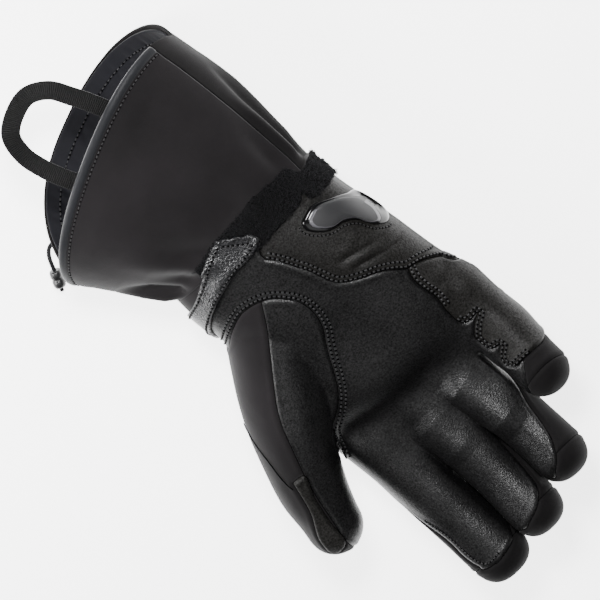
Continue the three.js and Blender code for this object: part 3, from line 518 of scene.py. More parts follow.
def around_finger(p, name):
    """For each point: the share along a finger, and how far across and up it lies, in half widths."""
    side, along, height, length, yaw, curl, _ = FINGERS[name]
    length, yaw, curl = length * FINGER_LENGTH, math.radians(yaw), math.radians(curl)
    q = p - np.append(on_palm([(side, along)])[0], height * PALM_HEIGHT)
    ahead = q[:, 0] * math.sin(yaw) + q[:, 1] * math.cos(yaw)
    across = q[:, 0] * math.cos(yaw) - q[:, 1] * math.sin(yaw)
    bend = length / curl
    straight = ahead < 0
    share = np.where(straight, ahead / length, np.arctan2(ahead, bend - q[:, 2]) / curl)
    up = np.where(straight, q[:, 2], bend - np.hypot(ahead, bend - q[:, 2]))
    half_across, half_up = finger_half(name, share)
    return share, across / half_across, up / half_up


def finger_coordinates(p):
    """For each point: its nearest finger, the share along it, the angle round it and the distance from it."""
    best = np.full(len(p), 1e9)
    owner = np.zeros(len(p), int)
    shares, angles = np.zeros(len(p)), np.zeros(len(p))
    for number, name in enumerate(FINGERS):
        share, across, up = around_finger(p, name)
        distance = np.hypot(across, up) + np.maximum(0, share - 1.02) * 9
        nearer = distance < best
        best = np.where(nearer, distance, best)
        owner = np.where(nearer, number, owner)
        shares = np.where(nearer, share, shares)
        angles = np.where(nearer, np.degrees(np.arctan2(up, across)), angles)
    return owner, shares, np.where(angles < -90, angles + 360, angles), best


def second_finger(p):
    """Distance of each point from its second nearest finger, in half widths."""
    found = []
    for name in FINGERS:
        share, across, up = around_finger(p, name)
        past = np.maximum(0, share - 0.9) + np.maximum(0, -0.04 - share)
        found.append(np.hypot(across, up) + past * 6)
    return np.sort(np.array(found), axis=0)[1]


def front_field(p):
    """Positive on the leather side: above the edge seam of the hand and within the front of each finger."""
    owner, share, angle, _ = finger_coordinates(p)
    field = p[:, 2] - HAND_SEAM_HEIGHT
    for number, (name, rows) in enumerate(FRONTS.items()):
        table = np.array(rows, float)
        outer, inner = columns_at(share, table)
        _, half_up = finger_half(name, share)
        around_it = np.minimum(outer - angle, angle - inner) * math.pi / 180 * half_up
        ending = (table[-1, 0] - share) * FINGERS[name][3] * FINGER_LENGTH
        mine = (owner == number) & (share > 0.02)
        field = np.where(mine, np.minimum(around_it, ending), field)
    return field


def cap_field(p):
    owner, share, _, distance = finger_coordinates(p)
    lengths = np.array([row[3] * FINGER_LENGTH for row in FINGERS.values()])
    return np.where(distance < 1.6, (share - CAP_START) * lengths[owner], -20.0)


def thumb_field(p):
    arc = spline(on_palm(THUMB_ARC), 80)
    mound = np.vstack([arc, on_palm([(2.6, 0.3), (2.6, -0.5)])])
    beyond = np.vstack([on_palm(THUMB_EDGE), on_palm([(2.6, 0.8), (2.6, -0.5)])])
    return np.maximum(np.minimum(inside_distance(p, mound), p[:, 2] - HAND_SEAM_HEIGHT), inside_distance(p, beyond))


def thumb_side_field(p):
    seam = spline(on_thumb(THUMB_FRONT_SEAM), 60)
    return inside_distance(p, np.vstack([seam, on_thumb([(1.2, 3), (-0.4, 3)])]))


def thumb_patch_field(p):
    outline = spline(on_thumb(THUMB_TIP_PATCH + THUMB_TIP_PATCH[:1]), 60)[:-1]
    return np.minimum(inside_distance(p, outline), p[:, 2] - THUMB_ROOT[2] * PALM_HEIGHT - THUMB_PATCH_HEIGHT)


def heel_field(p):
    outline = np.vstack([spline(on_palm(HEEL_SEAM), 80), on_palm([(-1.6, 0.02), (-1.6, -0.66)])])
    return np.minimum(inside_distance(p, outline), p[:, 2] - HAND_SEAM_HEIGHT)


def little_outline():
    teeth = np.vstack([spline(on_palm(LITTLE_EDGE), 20), spline(on_palm(LITTLE_TEETH), 120)])
    return np.vstack([teeth, on_palm([(-1.6, 0.02)]), spline(on_palm(HEEL_SEAM[11:]), 20)[::-1]])


def little_field(p):
    return np.minimum(inside_distance(p, little_outline()), p[:, 2] - HAND_SEAM_HEIGHT)


# Materials

def shader(name, color, roughness, **inputs):
    """A principled material; returns it with its node tree and shader node."""
    material = bpy.data.materials.new(name)
    material.use_nodes = True
    tree = material.node_tree
    principled = tree.nodes["Principled BSDF"]
    principled.inputs["Base Color"].default_value = (*color, 1)
    principled.inputs["Roughness"].default_value = roughness
    for key, value in inputs.items():
        principled.inputs[key.replace("_", " ")].default_value = value
    return material, tree, principled


def noise_node(tree, kind, coordinates, **values):
    node = tree.nodes.new(kind)
    tree.links.new(coordinates, node.inputs["Vector"])
    for key, value in values.items():
        node.inputs[key].default_value = value
    return node


def object_coordinates(tree):
    return tree.nodes.new("ShaderNodeTexCoord").outputs["Object"]


def add_bump(tree, principled, height, strength, distance):
    bump = tree.nodes.new("ShaderNodeBump")
    bump.inputs["Strength"].default_value = strength
    bump.inputs["Distance"].default_value = distance
    tree.links.new(height, bump.inputs["Height"])
    previous = principled.inputs["Normal"].links
    if previous:
        tree.links.new(previous[0].from_socket, bump.inputs["Normal"])
    tree.links.new(bump.outputs["Normal"], principled.inputs["Normal"])


def vary(tree, socket, fac, low, high):
    """Lets a noise move a value between two limits."""
    spread = tree.nodes.new("ShaderNodeMapRange")
    spread.inputs["To Min"].default_value = low
    spread.inputs["To Max"].default_value = high
    spread.inputs["From Min"].default_value = 0.3
    spread.inputs["From Max"].default_value = 0.7
    tree.links.new(fac, spread.inputs["Value"])
    tree.links.new(spread.outputs["Result"], socket)


def vary_color(tree, principled, fac, low, high):
    ramp = tree.nodes.new("ShaderNodeValToRGB")
    ramp.color_ramp.elements[0].position = 0.3
    ramp.color_ramp.elements[1].position = 0.7
    ramp.color_ramp.elements[0].color = (*low, 1)
    ramp.color_ramp.elements[1].color = (*high, 1)
    tree.links.new(fac, ramp.inputs["Fac"])
    tree.links.new(ramp.outputs["Color"], principled.inputs["Base Color"])


def leather_material(name, low, high, rough, pebble=1400.0, depth=0.28, polish=0.26):
    """Grained leather: small pebbles with dark lines between, fine pores and a slow change of tone and polish."""
    material, tree, principled = shader(name, low, rough, Specular_IOR_Level=polish)
    vector = object_coordinates(tree)
    slow = noise_node(tree, "ShaderNodeTexNoise", vector, Scale=38.0, Detail=4.0, Roughness=0.6)
    cells = noise_node(tree, "ShaderNodeTexVoronoi", vector, Scale=pebble, Randomness=1.0)
    fine = noise_node(tree, "ShaderNodeTexNoise", vector, Scale=pebble * 0.7, Detail=4.0, Roughness=0.7)
    vary_color(tree, principled, slow.outputs["Fac"], low, high)
    tone = principled.inputs["Base Color"].links[0].from_socket
    grain = tree.nodes.new("ShaderNodeVectorMath")
    grain.operation = "MULTIPLY"
    tree.links.new(tone, grain.inputs[0])
    vary(tree, grain.inputs[1], fine.outputs["Fac"], 0.3, 1.9)
    tree.links.new(grain.outputs["Vector"], principled.inputs["Base Color"])
    vary(tree, principled.inputs["Specular IOR Level"], fine.outputs["Fac"], polish * 0.3, polish * 1.7)
    vary(tree, principled.inputs["Roughness"], slow.outputs["Fac"], rough - 0.05, rough + 0.07)
    add_bump(tree, principled, fine.outputs["Fac"], 0.22, 0.0003)
    add_bump(tree, principled, cells.outputs["Distance"], depth, 0.0005)
    return material


def cloth_material(name, low, high, rough, thread=2400.0, sheen=0.25, depth=0.3):
    """Knitted softshell: a fine thread bump, a soft sheen and a slow change of tone."""
    material, tree, principled = shader(name, low, rough, Sheen_Weight=sheen, Sheen_Roughness=0.5,
                                        Specular_IOR_Level=0.12)
    vector = object_coordinates(tree)
    slow = noise_node(tree, "ShaderNodeTexNoise", vector, Scale=16.0, Detail=5.0, Roughness=0.6)
    waves = noise_node(tree, "ShaderNodeTexNoise", vector, Scale=24.0, Detail=2.0)
    threads = noise_node(tree, "ShaderNodeTexNoise", vector, Scale=thread, Detail=2.0)
    ripple = noise_node(tree, "ShaderNodeTexNoise", vector, Scale=150.0, Detail=3.0)
    vary_color(tree, principled, slow.outputs["Fac"], low, high)
    add_bump(tree, principled, waves.outputs["Fac"], 0.5, 0.004)
    add_bump(tree, principled, ripple.outputs["Fac"], 0.16, 0.0008)
    add_bump(tree, principled, threads.outputs["Fac"], depth, 0.00025)
    return material


LEATHER = leather_material("black_leather", (0.0020, 0.0020, 0.0021), (0.0042, 0.0041, 0.0043), 0.37)
PATCH_LEATHER = leather_material("patch_leather", (0.0034, 0.0032, 0.0029), (0.0056, 0.0053, 0.0048), 0.5, polish=0.15)
STRAP_LEATHER = leather_material("strap_leather", (0.005, 0.005, 0.0055), (0.009, 0.009, 0.010), 0.3, 1150.0, 0.8, 0.45)
SOFTSHELL = cloth_material("softshell", (0.0022, 0.0017, 0.0020), (0.0064, 0.0052, 0.0060), 0.8, sheen=0.1)
BACK_SOFTSHELL = cloth_material("back_softshell", (0.0016, 0.0013, 0.0015), (0.0026, 0.0022, 0.0024), 0.85, sheen=0.03)
LINING = cloth_material("lining", (0.0042, 0.0042, 0.0056), (0.0066, 0.0066, 0.0088), 0.85, 1800.0, 0.06)
BINDING = cloth_material("binding_satin", (0.006, 0.0063, 0.0075), (0.010, 0.0105, 0.0125), 0.5, 2600.0, 0.08)
PILE = cloth_material("loop_pile", (0.0006, 0.0006, 0.0008), (0.0012, 0.0012, 0.0015), 0.95, 900.0, 0.0, 0.6)
PILE_TIPS = cloth_material("loop_pile_tips", (0.0003, 0.0003, 0.0005), (0.0055, 0.0055, 0.0065), 0.8, 900.0, 0.02, 0.3)
ELASTIC = cloth_material("elastic", (0.003, 0.003, 0.0035), (0.005, 0.005, 0.006), 0.85, sheen=0.05)
THREAD, _, _ = shader("thread", (0.0055, 0.0055, 0.0064), 0.55)
# Near-black painted shade: the dark marks at the stitch holes and the dark lines in the seams stand for the shade in
# these recesses.
PAINTED_SHADE, _, _ = shader("painted_shade_holes_and_seams", (0.0004, 0.0004, 0.0004), 0.95, Specular_IOR_Level=0.04)
LOCK, _, _ = shader("lock_plastic", (0.004, 0.004, 0.0045), 0.4)
GUARD_GLOSS, _, _ = shader("guard_gloss", (0.002, 0.002, 0.0022), 0.12, Specular_IOR_Level=0.3)
GUARD_MATT, _, _ = shader("guard_matt", (0.010, 0.010, 0.011), 0.5, Specular_IOR_Level=0.3)
GUARD_BEVEL, _, _ = shader("guard_bevel", (0.055, 0.054, 0.060), 0.5)


def webbing_material():
    """Black webbing with fine ribs across it and its threads along it."""
    material, tree, principled = shader("ribbed_webbing", (0.0014, 0.0014, 0.0014), 0.7,
                                        Sheen_Weight=0.02, Specular_IOR_Level=0.12)
    uv = tree.nodes.new("ShaderNodeUVMap")
    ribs = tree.nodes.new("ShaderNodeTexWave")
    ribs.bands_direction = "X"
    ribs.inputs["Scale"].default_value = 0.32
    tree.links.new(uv.outputs["UV"], ribs.inputs["Vector"])
    add_bump(tree, principled, ribs.outputs["Fac"], 0.6, 0.0004)
    vector = object_coordinates(tree)
    fine = noise_node(tree, "ShaderNodeTexNoise", vector, Scale=2000.0)
    add_bump(tree, principled, fine.outputs["Fac"], 0.3, 0.0002)
    vary(tree, principled.inputs["Roughness"], fine.outputs["Fac"], 0.5, 0.7)
    return material


WEBBING = webbing_material()


# Camera: it looks down at 70 degrees, with the hand's axis turned 42 degrees down to the right.
# DISTANCE and TARGET are in millimetres, and so is PIXEL, the size of one pixel of a picture of PIXELS at TARGET.
ROLL = math.radians(42)
TILT = math.radians(20)
DISTANCE = 1500.0
PIXEL = 0.52
PIXELS = 600
TARGET = Vector((12.065, -38.304, 27.0))


def add_camera():
    away = Vector((-math.cos(ROLL), -math.sin(ROLL), 0))
    up = away * math.cos(TILT) + Vector((0, 0, -math.sin(TILT)))
    back = away * math.sin(TILT) + Vector((0, 0, math.cos(TILT)))
    right = up.cross(back)
    data = bpy.data.cameras.new("camera")
    data.sensor_width = 36
    data.lens = data.sensor_width * DISTANCE / (PIXELS * PIXEL)
    camera = bpy.data.objects.new("camera", data)
    place = (TARGET + back * DISTANCE) * MM
    camera.matrix_world = Matrix.Translation(place) @ Matrix((right, up, back)).transposed().to_4x4()
    bpy.context.scene.collection.objects.link(camera)
    bpy.context.scene.camera = camera


# Name, place, size and target in metres, and energy in watts
LIGHTS = [
    ("from_cuff", (-0.27, -0.42, 0.72), (0.18, 0.18), (0.01, -0.03, 0.03), 14.0),
    ("from_thumb_side", (0.45, -0.45, 0.34), (0.3, 0.3), (0.04, -0.16, 0.03), 8.0),
    ("overhead", (0.1, 0.2, 1.3), (0.9, 0.7), (0.01, -0.03, 0.03), 3.5),
]
FLOOR_DROP = 0.0004  # metres below the glove


def add_area_light(name, place, size, target, energy):
    data = bpy.data.lights.new(name, "AREA")
    data.shape = "RECTANGLE"
    data.size, data.size_y = size
    data.energy = energy
    light = bpy.data.objects.new(name, data)
    light.location = place
    light.rotation_euler = (Vector(target) - Vector(place)).to_track_quat("-Z", "Y").to_euler()
    bpy.context.scene.collection.objects.link(light)


def add_stage():
    mesh = bpy.data.meshes.new("floor")
    mesh.from_pydata([(-3, -3, 0), (3, -3, 0), (3, 3, 0), (-3, 3, 0)], [], [(0, 1, 2, 3)])
    floor = bpy.data.objects.new("floor", mesh)
    floor.location.z = -FLOOR_DROP
    bpy.context.scene.collection.objects.link(floor)
    material, _, _ = shader("pale_floor", (0.93, 0.93, 0.93), 0.9, Emission_Color=(1, 1, 1, 1), Emission_Strength=3.6)
    mesh.materials.append(material)
    world = bpy.data.worlds.new("studio")
    bpy.context.scene.world = world
    world.use_nodes = True
    background = world.node_tree.nodes["Background"]
    background.inputs["Color"].default_value = (1, 1, 1, 1)
    background.inputs["Strength"].default_value = 0.16
    for light in LIGHTS:
        add_area_light(*light)


add_camera()
add_stage()


# Drawcord of the back hem, with its lock: the same route as the frame's
CORD_DIAMETER = 2.2
CORD_EXIT = (0.965, -30.0)
CORD_ROUTE = np.array([(0, 0, 0), (3.5, 0.5, -0.6), (7.5, 3, -2.8), (11, 7, -5.6), (13.5, 11, -7.3), (16, 15.5, -8),
                       (18, 19, -8), (20, 22.5, -8)])
LOCK_AT = 0.77
LOCK_LENGTH = 10.0
LOCK_DIAMETER = 7.5


def drawcord():
    exit_point = cuff_points(CORD_EXIT[0], CORD_EXIT[1], 0.3 + CORD_DIAMETER / 4)
    route = spline(exit_point + CORD_ROUTE, 24)
    ahead = directions(route)
    across = unit(np.cross(ahead, (0, 0, 1.0)))
    rise = np.cross(across, ahead)
    turn = ring_angles(14)
    ribs = 1 + 0.05 * np.cos(turn * 7)
    rings = [c + (np.outer(np.cos(turn) * ribs, a) + np.outer(np.sin(turn) * ribs, r)) * CORD_DIAMETER / 2
             for c, a, r in zip(route, across, rise)]
    points, faces = closed_tube(rings)
    cord = mesh_object("drawcord_elastic", points, faces, "elastic", ELASTIC, ["drawcord"])
    at = int(round(LOCK_AT * (len(route) - 1)))
    profile = [(-0.5, 0.55), (-0.49, 0.8), (-0.4, 0.93), (-0.15, 1.0), (-0.1, 0.88), (0.02, 0.86), (0.07, 0.98),
               (0.3, 0.97), (0.42, 0.88), (0.49, 0.72), (0.5, 0.5)]
    turn = ring_angles(40)
    rings = []
    for along, wide in profile:
        flat = 1 - 0.08 * np.cos(2 * turn)
        radius = wide * LOCK_DIAMETER / 2 * flat
        rings.append(route[at] + ahead[at] * along * LOCK_LENGTH
                     + np.outer(np.cos(turn) * radius, across[at]) + np.outer(np.sin(turn) * radius, rise[at]))
    points, faces = closed_tube(rings)
    points[:, 2] = np.maximum(points[:, 2], 0.15)
    lock = mesh_object("cord_lock_body", points, faces, "lock_plastic", LOCK, ["cord_lock"])


drawcord()

# Hand: one skin, cut into its panels

def softened(points, tris, weight, rounds):
    """Smooths the skin where weight is near 1."""
    a, b = np.unique(np.sort(tris[:, [0, 1, 1, 2, 2, 0]].reshape(-1, 2), axis=1), axis=0).T
    count = np.bincount(a, minlength=len(points)) + np.bincount(b, minlength=len(points))
    for _ in range(rounds):
        mean = np.stack([np.bincount(a, points[b, k], len(points)) + np.bincount(b, points[a, k], len(points))
                         for k in range(3)], 1) / count[:, None]
        points = points + (mean - points) * (0.6 * weight)[:, None]
    return points


def from_above(tree, x, y):
    """The point and normal of a surface under a place in plan, or None twice."""
    return tree.ray_cast(Vector((x, y, ABOVE)), Vector((0, 0, -1)))[:2]


def blurred(values, spread):
    """A table of heights blurred along both of its directions; spread is in cells."""
    reach = int(3 * spread)
    kernel = np.exp(-((np.arange(-reach, reach + 1) / spread) ** 2) / 2)
    for axis in (0, 1):
        values = np.apply_along_axis(np.convolve, axis, values, kernel, "same")
    return values


def rooted(points, tris):
    """Lets the fingers rise out of the palm in long smooth valleys, and deepens the slits further on."""
    tree = BVHTree.FromPolygons(points.tolist(), tris.tolist())
    step = 1.5
    xs, ys = np.arange(-84, 84, step), np.arange(-50, 130, step)
    top = np.array([[(from_above(tree, x, y)[0] or Vector()).z for x in xs] for y in ys])
    solid = (top > 24).astype(float)
    soft = blurred(top * solid, ROOT_BLUR) / (blurred(solid, ROOT_BLUR) + 1e-6)
    i = np.clip((points[:, 1] - ys[0]) / step, 0, len(ys) - 1.001)
    j = np.clip((points[:, 0] - xs[0]) / step, 0, len(xs) - 1.001)
    r, c = i.astype(int), j.astype(int)
    fr, fc = i - r, j - c
    target = (soft[r, c] * (1 - fr) * (1 - fc) + soft[r + 1, c] * fr * (1 - fc)
              + soft[r, c + 1] * (1 - fr) * fc + soft[r + 1, c + 1] * fr * fc)
    fade_y = np.interp(points[:, 1], [2, 24, 56, 84], [0, 1, 1, 0])
    weight = fade_y * np.clip((points[:, 2] - 27) / 6, 0, 1) * np.clip((56 - np.abs(points[:, 0])) / 12, 0, 1)
    points[:, 2] += weight * (target - points[:, 2])
    points = softened(points, tris, weight, 14)
    second = second_finger(points)
    slit = np.clip((1.2 - second) / 0.14, 0, 1) * np.clip((points[:, 2] - 20) / 8, 0, 1)
    slit = slit * np.interp(points[:, 1], [60, 88], [0, 1])
    points[:, 2] -= SLIT_DEPTH * slit
    return softened(points, tris, np.clip((1.34 - second) / 0.14, 0, 1) * (points[:, 2] > 24), 7)


def creased(points, tris):
    """Pushes the creases into the palm side, and small waves of the padding into all of it."""
    normal = vertex_normals(points, tris)
    upward = np.clip((normal[:, 2] + 0.1) / 0.6, 0, 1)
    push = np.zeros(len(points))
    for depth, width, line in CREASES:
        d, place = line_distance(points, spline(on_palm(line), 30))
        fade = np.clip(np.minimum(place, 1 - place) * 5, 0, 1)
        push -= depth * fade * np.exp(-((d / width) ** 2))
        if width < NARROW_CREASE:
            push += 0.35 * depth * fade * np.exp(-(((d - 2.1 * width) / (1.1 * width)) ** 2))
    waves = np.zeros(len(points))
    for length, height in ((46.0, 0.3), (23.0, 0.1)):
        for _ in range(5):
            direction = unit(rng.normal(size=3))
            waves += height / 5**0.5 * np.sin(points @ direction * 2 * math.pi / length + rng.uniform(0, 6.3))
    moved = points + normal * (push * upward + waves)[:, None]
    moved[:, 2] = np.maximum(moved[:, 2], 0)
    return moved


# Where the wrist's softshell ends, as x and y in millimetres: on the palm side, above a height, and below it
CUFF_END_OVER = [(-60, -82), (-45, -87), (-8, -89), (20, -88), (40, -79), (56, -66), (62, -58)]
CUFF_END_UNDER = [(-60, -80), (-37, -79), (19, -74), (56, -63), (62, -58)]
CUFF_END_TURN = 25


def cuff_end_field(p):
    """Positive towards the cuff, past a line that lies under the wrist's strap and loop patch."""
    over, under = (np.interp(p[:, 0], *zip(*line)) for line in (CUFF_END_OVER, CUFF_END_UNDER))
    return np.where(p[:, 2] > CUFF_END_TURN, over, under) - p[:, 1]


PANELS = ["hand_back", "palm_leather", "thumb_softshell", "thumb_leather", "thumb_tip_patch", "heel_patch",
          "little_finger_patch"] + [f"tip_cap_{name}" for name in FINGERS]


def panel_of(p):
    """Number of the panel that each point lies in."""
    owner, _, _, _ = finger_coordinates(p)
    front = front_field(p) > 0
    label = np.where(front, 1, 0)
    label = np.where(~front & (cap_field(p) > 0), len(PANELS) - len(FINGERS) + owner, label)
    thumb = thumb_field(p) > 0
    label = np.where(thumb, np.where(thumb_side_field(p) > 0, 2, 3), label)
    label = np.where(thumb & (thumb_patch_field(p) > 0), 4, label)
    label = np.where(~thumb & (heel_field(p) > 0), 5, label)
    label = np.where(~thumb & (label != 5) & (little_field(p) > 0), 6, label)
    return np.where(cuff_end_field(p) > 0, len(PANELS), label)


def seam_distance(points, tris, labels):
    """Distance of each point from the nearest seam between two panels."""
    low = np.full(len(points), 99)
    high = np.full(len(points), -1)
    for k in range(3):
        np.minimum.at(low, tris[:, k], labels)
        np.maximum.at(high, tris[:, k], labels)
    on_seam = np.flatnonzero(low != high)
    tree = KDTree(len(on_seam))
    for i, v in enumerate(on_seam):
        tree.insert(points[v], i)
    tree.balance()
    return np.array([tree.find(p)[2] for p in points])


def dressed_hand():
    points, tris = remeshed_hand()
    points = creased(rooted(points, tris), tris)
    for field in (cuff_end_field, front_field, cap_field, thumb_field, thumb_side_field, thumb_patch_field,
                  heel_field, little_field):
        points, tris = cut(points, tris, field)
    labels = panel_of(points[tris].mean(1))
    distance = seam_distance(points, tris, labels)
    raised = np.zeros(len(points))
    for number in (4, 5, 6):
        rows = np.unique(tris[labels == number])
        raised[rows] = PATCH_RISE * (1 - np.exp(-((distance[rows] / 0.7) ** 2)))
    normal = vertex_normals(points, tris)
    groove = -SEAM_DEPTH * np.exp(-((distance / SEAM_WIDTH) ** 2))
    groove += SEAM_SWELL * np.exp(-(((distance - 2.2) / 1.3) ** 2))
    points = points + normal * (raised + groove)[:, None]
    points[:, 2] = np.maximum(points[:, 2], 0)
    return points, tris, labels


hand_points, hand_tris, hand_labels = dressed_hand()
closing_wall = hand_points[hand_tris].mean(1)[:, 1] < HAND_SECTIONS[0, 0] * HAND_LENGTH + 1.2
PANEL_LOOKS = {
    "hand_back": ("back_softshell", BACK_SOFTSHELL), "palm_leather": ("palm_leather", LEATHER),
    "thumb_softshell": ("softshell", SOFTSHELL), "thumb_leather": ("palm_leather", LEATHER),
    "thumb_tip_patch": ("patch_leather", PATCH_LEATHER), "heel_patch": ("patch_leather", PATCH_LEATHER),
    "little_finger_patch": ("patch_leather", PATCH_LEATHER), "cuff_wrist": ("softshell", SOFTSHELL),
}  # slot and material; the tip caps are like hand_back
for number, node in enumerate(PANELS + ["cuff_wrist"]):
    chosen = hand_tris[(hand_labels == number) & ~closing_wall]
    used, local = np.unique(chosen, return_inverse=True)
    slot, material = PANEL_LOOKS.get(node, PANEL_LOOKS["hand_back"])
    mesh_object(f"{node}_skin", hand_points[used], local.reshape(-1, 3), slot, material,
                [node] if node in PANELS else [])

hand_tree = BVHTree.FromPolygons(hand_points.tolist(), hand_tris.tolist())


def seam_lines():
    """A thin dark line of painted shade in every seam between two panels of the hand."""
    edges = np.sort(hand_tris[:, [0, 1, 1, 2, 2, 0]].reshape(-1, 2), axis=1)
    owner = np.repeat(hand_labels, 3)
    order = np.lexsort((edges[:, 1], edges[:, 0]))
    edges, owner = edges[order], owner[order]
    twin = (edges[1:] == edges[:-1]).all(1) & (owner[1:] != owner[:-1])
    found = edges[1:][twin]
    normal = vertex_normals(hand_points, hand_tris)
    a, b = hand_points[found[:, 0]], hand_points[found[:, 1]]
    up = unit(normal[found[:, 0]] + normal[found[:, 1]])
    ahead = unit(b - a)
    across = np.cross(ahead, up)
    corners = [(across, 1.0, -0.1), (up, 0.0, 0.75), (across, -1.0, -0.1)]
    points = np.concatenate([end + reach * ahead * 0.1 + (across * side + up * rise) * SEAM_LINE
                             for end, reach in ((a, -1), (b, 1)) for _, side, rise in corners], axis=0)
    n = len(found)
    faces = [(k, n + k, 4 * n + k, 3 * n + k) for k in range(n)]
    faces += [(n + k, 2 * n + k, 5 * n + k, 4 * n + k) for k in range(n)]
    mesh_object("hand_seam_shade", points, faces, "palm_leather", PAINTED_SHADE)


seam_lines()


def drop(x, y):
    """The skin's point and normal under a place in plan."""
    hit, normal = from_above(hand_tree, x, y)
    return (np.array(hit), np.array(normal)) if hit else (None, None)


# Stitches

def capsule(start, end, radius, up):
    """Six-sided stitch that dips into the surface at both ends."""
    ahead = unit(end - start)
    across = unit(np.cross(ahead, up))
    rise = np.cross(across, ahead)
    turn = ring_angles(6)
    rings = []
    for t, scale, lift in ((0, 0.25, -0.5), (0.18, 0.9, 0.1), (0.5, 1.0, 0.35), (0.82, 0.9, 0.1), (1, 0.25, -0.5)):
        centre = start + (end - start) * t + rise * lift * radius
        rings.append(centre + (np.outer(np.cos(turn), across) + np.outer(np.sin(turn), rise)) * radius * scale)
    return closed_tube(rings)


def stitches(name, rows, slot, pitch=STITCH_PITCH, thread=0.52):
    """Sewn rows: threads with a dark mark of painted shade for the hole at both ends. Each row is points on a surface
    and their normals.
    """
    threads, holes = [], []
    for line, normals in rows:
        steps = arc_lengths(line)

        def at_step(s):
            return [np.array([np.interp(s, steps, table[:, k]) for k in range(3)]) for table in (line, normals)]

        for at in np.arange(pitch / 2, steps[-1] - pitch / 2, pitch):
            (start, _), (end, up) = at_step(at - pitch * 0.32), at_step(at + pitch * 0.32)
            hole, lift = at_step(at + pitch / 2)
            across = np.cross(unit(end - start), lift)
            threads.append(capsule(start, end, thread, up))
            # a dark mark of painted shade where the thread goes into its hole
            holes.append(capsule(hole - across * 0.7, hole + across * 0.7, thread * 0.9, lift))
    mesh_object(name, *joined(threads), slot, THREAD)
    mesh_object(name + "_hole_shade", *joined(holes), slot, PAINTED_SHADE)


def offset_line(line, shift):
    """A line in plan moved sideways, to the left of its direction when shift is positive."""
    ahead = directions(line)
    return line + np.stack([-ahead[:, 1], ahead[:, 0]], 1) * shift


def sewn_rows(outline, shifts, keep=lambda point, normal: True):
    """Stitch rows that follow an outline on the hand's skin."""
    rows = []
    for shift in shifts:
        line, normals = [], []
        for x, y in offset_line(outline, shift):
            point, normal = drop(x, y)
            if point is None or normal[2] < 0.12 or not keep(point, normal):
                if len(line) > 4:
                    rows.append((np.array(line), np.array(normals)))
                line, normals = [], []
                continue
            line.append(point + normal * 0.1)
            normals.append(normal)
        if len(line) > 4:
            rows.append((np.array(line), np.array(normals)))
    return rows


heel_line = spline(on_palm(HEEL_SEAM[1:]), 140)
arc_line = spline(on_palm(THUMB_ARC), 160)
teeth_line = spline(on_palm(LITTLE_TEETH[:-2]), 200)
edge_line = spline(on_palm(LITTLE_EDGE), 50)
stitches("heel_stitches", sewn_rows(heel_line, (1.6, 3.9)), "patch_leather")
stitches("thumb_arc_stitches", sewn_rows(arc_line, (1.7, 4.0)), "palm_leather")
stitches("little_patch_stitches", sewn_rows(teeth_line, (1.3, 3.1)) + sewn_rows(edge_line, (1.3, 3.4)), "patch_leather")


def on_finger(name, share, degrees):
    """The skin's point and normal at a share along a finger and an angle round it."""
    point, across, up = finger_place(name, share)
    out = across * math.cos(math.radians(degrees)) + up * math.sin(math.radians(degrees))
    hit, normal, _, _ = hand_tree.ray_cast(Vector(point + out * 60), Vector(-out))
    if hit is None:
        return point + out * FINGER_HEIGHT / 2, out
    return np.array(hit), np.array(normal)


def finger_line(name, knots, count=60):
    found = [on_finger(name, share, degrees) for share, degrees in spline(np.array(knots) * (100, 1), count) / (100, 1)]
    normals = np.array([normal for _, normal in found])
    return np.array([point for point, _ in found]) + normals * 0.08, normals


THUMB_SIDE_SEAM = [(77.2, -30), (77.8, -20.9), (79.9, -11.1), (81.6, 1.8), (83.7, 15.6), (83.6, 21)]  # in millimetres


def thumb_seam_shade():
    """The second seam on the thumb's soft side, drawn as a dark line of painted shade."""
    line, normals = sewn_rows(spline(THUMB_SIDE_SEAM, 60), (0.0,))[0]
    section = [(0.35 * math.cos(t), 0.2 + 0.25 * math.sin(t)) for t in ring_angles(6)]
    points, faces = closed_tube(swept(line, np.cross(directions(line), normals), normals, section))
    mesh_object("thumb_seam_shade", points, faces, "softshell", PAINTED_SHADE)


# Cuff

CUFF_ROWS = 90
# Folds of the cuff: depth, angle round it, how the angle changes along it, width, start and end
CUFF_FOLDS = [
    (-4.2, 40.0, -26.0, 9.0, -0.05, 0.46), (2.4, 25.0, -22.0, 7.0, 0.0, 0.44), (-3.2, 12.0, -14.0, 6.0, 0.0, 0.38),
    (1.6, 2.0, -8.0, 6.0, 0.0, 0.34), (-2.6, 58.0, -30.0, 8.0, 0.0, 0.34), (1.4, 70.0, -22.0, 9.0, 0.0, 0.55),
    (-1.4, 140.0, 10.0, 7.0, 0.0, 0.4), (2.0, 162.0, -4.0, 6.0, 0.05, 0.5), (-2.2, 172.0, 6.0, 5.0, 0.05, 0.6),
    (1.6, 182.0, 10.0, 6.0, 0.1, 0.65), (-1.0, 320.0, 0.0, 9.0, 0.0, 0.5), (-1.0, 250.0, 0.0, 12.0, 0.0, 0.5),
    (-1.3, 95.0, 30.0, 16.0, 0.1, 0.95), (1.0, 60.0, 20.0, 16.0, 0.2, 1.0), (-1.8, 82.0, -36.0, 8.0, 0.0, 0.42),
    (-1.3, 108.0, -20.0, 8.0, 0.0, 0.3), (1.2, 96.0, -30.0, 8.0, 0.0, 0.38),
]


